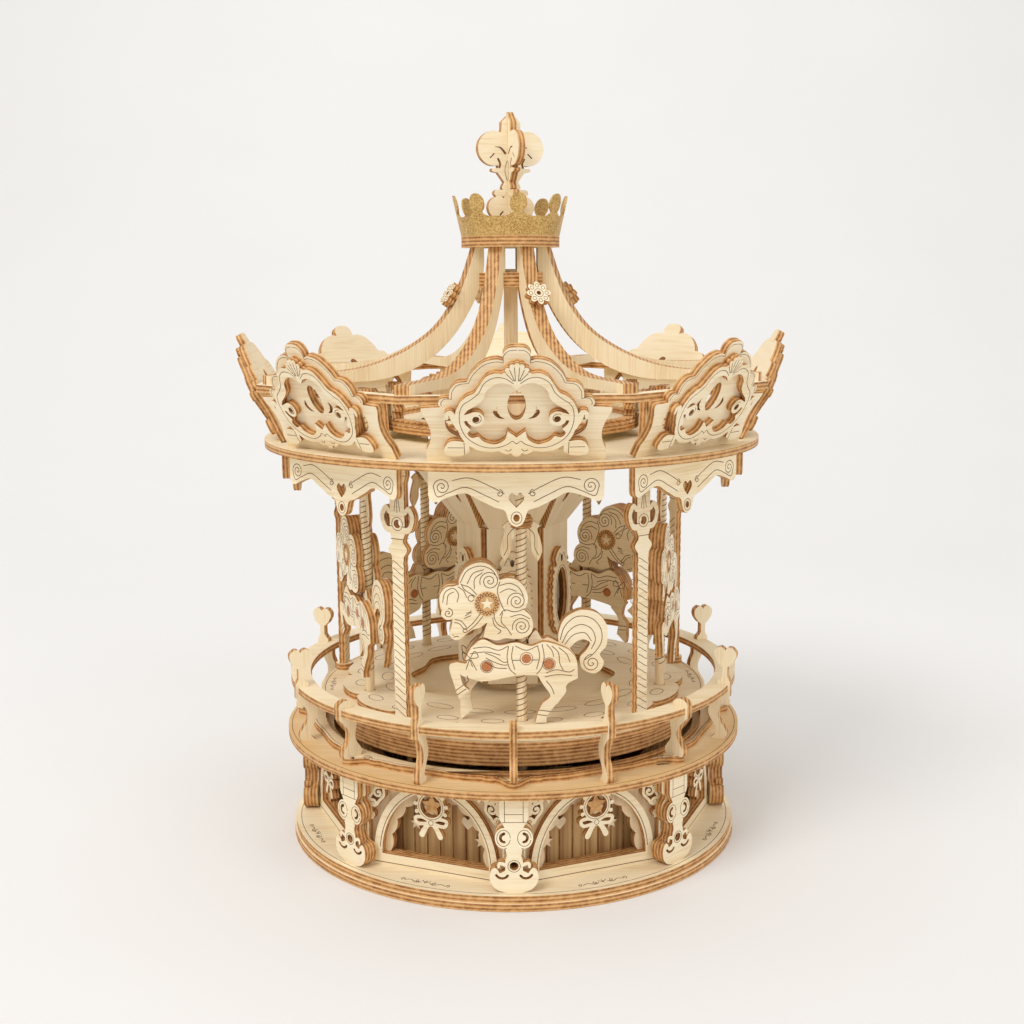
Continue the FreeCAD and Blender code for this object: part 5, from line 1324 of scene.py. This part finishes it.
def mane_lines():
    """Engraving of the head and mane."""
    lines = [spiral(-12.6, 57.8, 3.9, 2.4, 200, -1), spiral(-2.1, 49.6, 3.7, 2.4, 200, -1),
             spiral(-0.2, 39.4, 3.7, 2.4, 200, -1), spiral(-28.9, 45.3, 2.0, 1.6, 90, -1)]
    lines += curves([(-24, 57.4), (-21.4, 62), (-16.4, 63.9), (-11.8, 62.3), (-9.4, 58.6)],
                    [(-21.4, 56.8), (-19, 61), (-14.8, 62.4)],
                    [(-18.6, 54.8), (-18.4, 58.8), (-15.4, 61.2)],
                    [(-8.6, 57.6), (-9.6, 53.6), (-8.0, 48.2), (-6.6, 45.6)],
                    [(-8.8, 56), (-4.8, 56.8), (-1.4, 55.2), (0.6, 51.8)],
                    [(-8.6, 53.2), (-5.4, 54.6), (-2.2, 53.6)],
                    [(1.4, 46.6), (-2.8, 45.4), (-6.8, 46.2), (-8.8, 44.0)],
                    [(-10.0, 47), (-11, 43.6), (-9.4, 40.4), (-6.6, 38.8)],
                    [(-7.6, 45.2), (-8.2, 41.6), (-5.8, 38.6), (-4.2, 36)],
                    [(3.2, 42.4), (-0.6, 44.2), (-4.6, 43.4)],
                    [(-11.6, 43.2), (-10.8, 40), (-8.4, 37.8), (-9.6, 36.6)],
                    [(-31, 49.6), (-30, 53.6), (-26.8, 55.2), (-24.8, 52.8), (-25.4, 49.6)],
                    [(-29.4, 48.6), (-28.8, 52.4), (-26.6, 53.8)],
                    [(-25, 55.8), (-22.8, 54.2), (-21.6, 51.4)],
                    [(-23.8, 57), (-22.2, 54.4), (-18.2, 51.8)],
                    [(-23.6, 56.6), (-20.4, 55.4), (-17.6, 52.4)])
    lines += [ring_points(-19.9, 51.1, 1.2, count=14)]
    lines += curves([(-26.6, 41.6), (-24.6, 41.0), (-22.6, 38.6)],
                    [(-26.4, 42.8), (-23.8, 42), (-21.7, 39.4)],
                    [(-22.4, 38.4), (-19.2, 41.2), (-16.4, 44.8)],
                    [(-21.6, 37.6), (-18.4, 40.2), (-15.4, 43.8)])
    lines += [ring_points(-22.4, 38.2, 0.8, count=12), [(-22.4, 44.0), (-20.9, 44.9), (-19.8, 46.2)],
             [(-22.6, 43.0), (-21.0, 43.8), (-20.0, 44.2)], [(-21.9, 45.2), (-20.6, 45.4), (-19.6, 45.2)],
             [(-27.3, 36.7), (-26.9, 36.3)]]
    lines += curves([(-26.9, 35.6), (-25.8, 36.0), (-24.9, 35.8)])
    return lines


def tail_lines():
    """Engraving of the tail."""
    return [spiral(27.8, 23.2, 3.6, 2.0, 90, 1)] + curves([(15.2, 33), (17, 38.4), (21.6, 42.2),
        (27.4, 41.6), (31.2, 37.4), (31.6, 32), (28.6, 27.2), (25, 24.6)],
        [(16, 31.6), (18.6, 36.4), (23, 39), (27.4, 37.4), (29.2, 33), (27.6, 29)],
        [(17, 31), (20.4, 34.8), (25, 35.6), (27.6, 32.2)])


def wreath_lines():
    """Leaves of the round wreath behind the ear."""
    x, y = WREATH
    lines = []
    for k in range(20):
        a = 2 * math.pi * k / 20
        for r0, r1, lead in ((2.9, 4.7, 0.3), (4.5, 3.1, 0.26)):
            lines.append([(x + r0 * math.cos(a), y + r0 * math.sin(a)),
                (x + r1 * math.cos(a + lead), y + r1 * math.sin(a + lead))])
    return lines


def body_lines():
    """Engraving of the body: breast strap, bow, saddle cloth, girth and hooves."""
    return curves([(-19.4, 31), (-14, 31.4), (-9.4, 30), (-5.6, 31.6)],
        [(-20.6, 28.8), (-14, 29.4), (-8.6, 28)], [(-14.6, 29), (-10.8, 27.4), (-7.6, 25.2), (-5.8, 25.2)],
        [(-14.4, 27), (-10.6, 25), (-7.6, 24), (-5.8, 24)], [(-14.8, 25.4), (-10.6, 23), (-6.2, 22.6)],
        [(-5.4, 31.6), (-6, 27), (-5, 22.4), (-2.6, 20)], [(7.8, 32.2), (8.6, 27), (7.6, 22.6), (5.6, 20)],
        [(-3.6, 31.6), (-4.2, 27), (-3, 22)], [(6, 31.6), (6.8, 27), (5.6, 22)],
        [(-2.8, 31.6), (1.6, 29.8), (6.2, 31.6)], [(-3.8, 25.8), (-0.6, 25.8)], [(3.4, 25.8), (6.4, 25.8)],
        [(9.6, 32), (11.6, 29.6), (12.4, 27)], [(11.6, 31.4), (14.2, 28.6), (14.8, 24.2), (16.2, 21.4)],
        [(14.4, 30.6), (17.4, 28), (18.8, 24.6)], [(9.4, 20.4), (13.4, 21.6), (18.4, 20.6), (20.6, 21.6)],
        [(8.8, 18.8), (13.6, 19.6), (19.6, 19.2)],
        [(-20.6, 27.2), (-23.4, 29.6), (-23, 26.4), (-20.8, 26.6), (-18.8, 29.8), (-17.4, 27.4),
        (-20.6, 26.8)], [(-20.8, 26.4), (-22.2, 22.4)], [(-20.2, 26.4), (-18, 22)],
        [(-20.6, 26.4), (-19.6, 23.4)])


NEAR_HOOVES = curves([(5.9, 3.4), (9.6, 2.9)], [(6.6, 5.2), (11.0, 4.6)], [(-25.8, 12.2), (-22.2, 14.6)],
    [(-26.3, 14.0), (-23.2, 16.2)], [(-22.8, 16.4), (-21.4, 17.8), (-21.8, 20)],
    [(12.6, 11.6), (11.4, 14.6), (9.4, 17.2)])
FAR_HOOVES = [[(-24.4, 6.4), (-20.2, 6.0)], [(-24.4, 8.2), (-20.4, 8.0)], [(13.9, 7.6), (16.4, 7.2)],
    [(14.8, 9.2), (17.4, 9.4)]]


def build_horse(k):
    """One horse: core plates, two skins with tack, pegs and engraving."""
    body = "horse_%d" % (k + 1)
    place = [facing(horse_angle(k), HORSE_CIRCLE, low(body)[2])]
    core = POLE_RADIUS + 0.1
    near_top = core + PLY
    horse = Builder(body + "_carved")
    for shape in HORSE_MIDDLE:
        horse.plate([shape], 2 * core, place, base=-core)
    peg_holes = [ring_points(x, y, POLE_RADIUS + 0.05, count=24) for x, y in PEGS]
    horse.plate([HORSE_NEAR] + peg_holes, PLY, place, base=core)
    horse.plate([HORSE_FAR] + peg_holes, PLY, place, base=-near_top)
    for base in (core, -near_top):
        horse.plate([HORSE_HEAD], PLY, place, base=base)
    for base, face in ((near_top, near_top), (-near_top - SKIN, -near_top + BACK)):
        horse.plate([star_points(*WREATH, 2.7)], SKIN, place, base=base)
        horse.engrave(mane_lines(), face, place)
    for face in (core, -core + BACK):
        horse.engrave(tail_lines(), face, place)
    horse.engrave(body_lines() + NEAR_HOOVES, near_top, place)
    horse.engrave(body_lines() + FAR_HOOVES, -near_top + BACK, place)
    for x, y in PEGS + (BUTTON,):
        horse.engrave([ring_points(x, y, POLE_RADIUS + 0.4, count=24)], near_top, place, 0.22, closed=True)
    stand_in(horse, body, body)

    wreath = Builder(body + "_wreath")
    hoop = [ring_points(*WREATH, 4.9, count=40), star_points(*WREATH, 3.0)]
    for base in (near_top, -near_top - SKIN):
        wreath.plate(hoop, SKIN, place, base=base)
    for face in (near_top + SKIN, -near_top - SKIN + BACK):
        wreath.engrave(wreath_lines(), face, place, 0.24)
    extra(wreath, body, [EDGE, EDGE, LINE])

    pegs = Builder(body + "_pegs")
    blunt = POLE_RADIUS - 0.25
    verts, faces = lathe([(0.01, -near_top), (blunt, -near_top), (POLE_RADIUS, -near_top + 0.25),
        (POLE_RADIUS, near_top - 0.25), (blunt, near_top), (0.01, near_top)], 24)
    for x, y in PEGS:
        pegs.solid(([(vx + x, vy + y, vz) for vx, vy, vz in verts], faces), 0, place[0])
    button = [(0.01, near_top - 0.4), (1.9, near_top - 0.4), (1.9, near_top - 0.03), (0.01, near_top - 0.03)]
    verts, faces = lathe(button, 24)
    x, y = BUTTON
    pegs.solid(([(vx + x, vy + y, vz + 0.06) for vx, vy, vz in verts], faces), 0, place[0], verts)
    extra(pegs, body, [PEG])


def build_pole(k):
    """Roped pole with its basket, ribbon and the yoke for the crank."""
    body = "horse_%d" % (k + 1)
    node = "horse_pole_%d" % (k + 1)
    bottom, top = low(node)[2], high(node)[2]
    hoof = low(body)[2]
    head = top - 5.2
    spot = Matrix.Rotation(math.radians(horse_angle(k)), 4, "Z") @ Matrix.Translation((0, -HORSE_CIRCLE, 0))
    place = [facing(horse_angle(k), HORSE_CIRCLE, 0.0)]
    pole = Builder(node + "_roped")
    profile = [(0.01, bottom), (POLE_RADIUS, bottom)]
    for z in np.arange(bottom + 0.4, head, 1.5):
        profile.append((POLE_RADIUS - 0.03 * (1 + math.sin(z)), float(z)))
    profile += [(POLE_RADIUS, head + 0.4), (0.01, head + 0.4)]
    pole.solid(lathe(profile, 28), 0, spot)
    for start in (0.0, math.pi):
        pole.solid(helix_bar(POLE_RADIUS, hoof + 1.0, head - 1.0, 4.6, start, 0.34), 2, spot)
    basket = hoof + 78
    for z, r in ((basket, POLE_RADIUS + 2.0), (basket + 1.3, POLE_RADIUS + 2.5),
            (basket + 2.8, POLE_RADIUS + 2.6), (basket + 4.0, POLE_RADIUS + 1.9)):
        hoop = [(0.01, z), (r - 0.3, z), (r, z + 0.25), (r, z + 0.75), (r - 0.3, z + 1.0), (0.01, z + 1.0)]
        pole.solid(lathe(hoop), 1, spot)
    ribbon = mirror_shape((0, basket - 3.4), [(2.0, basket - 3.0)],
        [(3.8, basket - 5.4), (4.0, basket - 9), (6.6, basket - 13.6)],
        [(8.2, basket - 9.6), (7.6, basket - 5), (6.4, basket - 1), (7.4, basket + 0.6)],
        [(5, basket + 2.4), (2.4, basket + 1.2)], [(0, basket + 1.2)])
    pole.plate([ribbon], 1.5, place, base=-0.75)
    pole.engrave([smooth(handed(s, (2.6, basket), (5.2, basket - 3), (5.4, basket - 8),
        (6.8, basket - 11))) for s in (1, -1)], 0.75, place, 0.24)
    yoke = [rectangle(-6, head, 6, top), rectangle(-5, head + 1.3, 5, head + 3.9)]
    pole.plate(yoke, 2 * POLE_RADIUS, place, base=-POLE_RADIUS)
    stand_in(pole, node, body, [DOWEL, EDGE, LINE])


# ---------------------------------------------------------------- assembly

def finish_frame_pieces():
    """Materials of the frame pieces that are shown as they are; none of them is replaced."""
    by_material = {
        FLAT: ("base_plates", "handrail", "drum_plates", "deck", "deck_skirt", "canopy_ring",
               "crown_beam", "roof_hub", "crown_ring", "column_collars", "drive_wheel", "fixed_gear"),
        RIM: ("rim_ring",),
        FACING: ("drum_panels", "drum_flare", "crank_bearings"),
        SLATS: ("slat_wall",),
        SHADED: ("arch_liners",),
        RADIAL: ("scroll_brackets", "heart_posts", "roof_ribs"),
        DOWEL: ("centre_post", "deck_hub"),
        STEEL: ("comb", "movement_screws", "governor_fly", "winding_key"),
        BRASS: ("movement_bed", "drive_arbor", "spring_barrel", "pinned_cylinder"),
        MIRROR: ("mirrors",)}
    for material, nodes in by_material.items():
        for node in nodes:
            finish_node(node, material)
    for k in range(HORSES):
        finish_node("crank_%d" % (k + 1), SHADED)


def build_object():
    finish_frame_pieces()
    build_arch_panels()
    build_wall_charms()
    build_pilasters()
    build_medallions()
    build_lace_ring()
    build_plinth_marks()
    build_rail_marks()
    build_mirror_frames()
    build_deck_lace()
    build_columns()
    build_valance()
    build_crown_boards()
    build_roof_flowers()
    build_finial()
    build_crown_band()
    for k in range(HORSES):
        build_horse(k)
        build_pole(k)


# ---------------------------------------------------------------- stage

def backdrop_material():
    n = Nodes("backdrop", 0.9)
    cloud = n.noise(n.coords(), 3.0, 2.0)
    n.colour(n.ramp(cloud, [(0.3, srgb(237, 236, 235)), (0.7, srgb(239, 238, 237))]))
    return n.material


def area_light(name, spot, aim, energy, size, colour=(1.0, 1.0, 1.0)):
    data = bpy.data.lights.new(name, "AREA")
    data.energy = energy
    data.size = size
    data.color = colour
    lamp = bpy.data.objects.new(name, data)
    lamp.location = spot
    lamp.rotation_euler = (Vector(aim) - Vector(spot)).to_track_quat("-Z", "Y").to_euler()
    bpy.context.scene.collection.objects.link(lamp)


def build_floor():
    """Pale paper floor that curves up into a backdrop."""
    rows = [(-3.0, 0.0), (0.6, 0.0)]
    rows += [(0.6 + 1.4 * math.sin(math.radians(a)), 1.4 - 1.4 * math.cos(math.radians(a)))
        for a in range(6, 91, 6)]
    rows.append((2.0, 4.0))
    verts = [(x, y, z) for y, z in rows for x in (-4.0, 4.0)]
    faces = [(2 * k, 2 * k + 1, 2 * k + 3, 2 * k + 2) for k in range(len(rows) - 1)]
    mesh = bpy.data.meshes.new("floor")
    mesh.from_pydata(verts, [], faces)
    mesh.polygons.foreach_set("use_smooth", [True] * len(faces))
    floor = bpy.data.objects.new("floor", mesh)
    floor.location = (0, 0, -0.0002)
    mesh.materials.append(backdrop_material())
    bpy.context.scene.collection.objects.link(floor)


def build_stage():
    """Pale backdrop, soft studio light and the camera at the photo's angle."""
    build_floor()
    world = bpy.data.worlds.new("studio")
    world.use_nodes = True
    world.node_tree.nodes["Background"].inputs["Color"].default_value = srgb(252, 250, 247)
    world.node_tree.nodes["Background"].inputs["Strength"].default_value = 0.64
    bpy.context.scene.world = world
    area_light("key", (-0.8, -1.0, 1.5), (0, 0, 0.12), 15.0, 0.8, (1.0, 0.992, 0.98))
    area_light("fill", (1.0, -1.1, 0.8), (0, 0, 0.15), 4.5, 1.0)
    area_light("wall", (0, 0.4, 2.0), (0, 2.0, 1.3), 13.0, 2.0)

    data = bpy.data.cameras.new("camera")
    data.lens = LENS
    data.sensor_width = 36.0
    data.clip_start = 0.01
    data.clip_end = 50.0
    camera = bpy.data.objects.new("camera", data)
    pitch = Matrix.Rotation(math.radians(90.0 - CAMERA_PITCH), 4, "X")
    roll = Matrix.Rotation(math.radians(-CAMERA_ROLL), 4, "Z")
    camera.matrix_world = Matrix.Translation(CAMERA_SPOT) @ pitch @ roll
    bpy.context.scene.collection.objects.link(camera)
    bpy.context.scene.camera = camera
    settings = bpy.context.scene.view_settings
    settings.view_transform = "Standard"
    settings.look = "None"
    settings.exposure = 0.0


build_object()
build_stage()
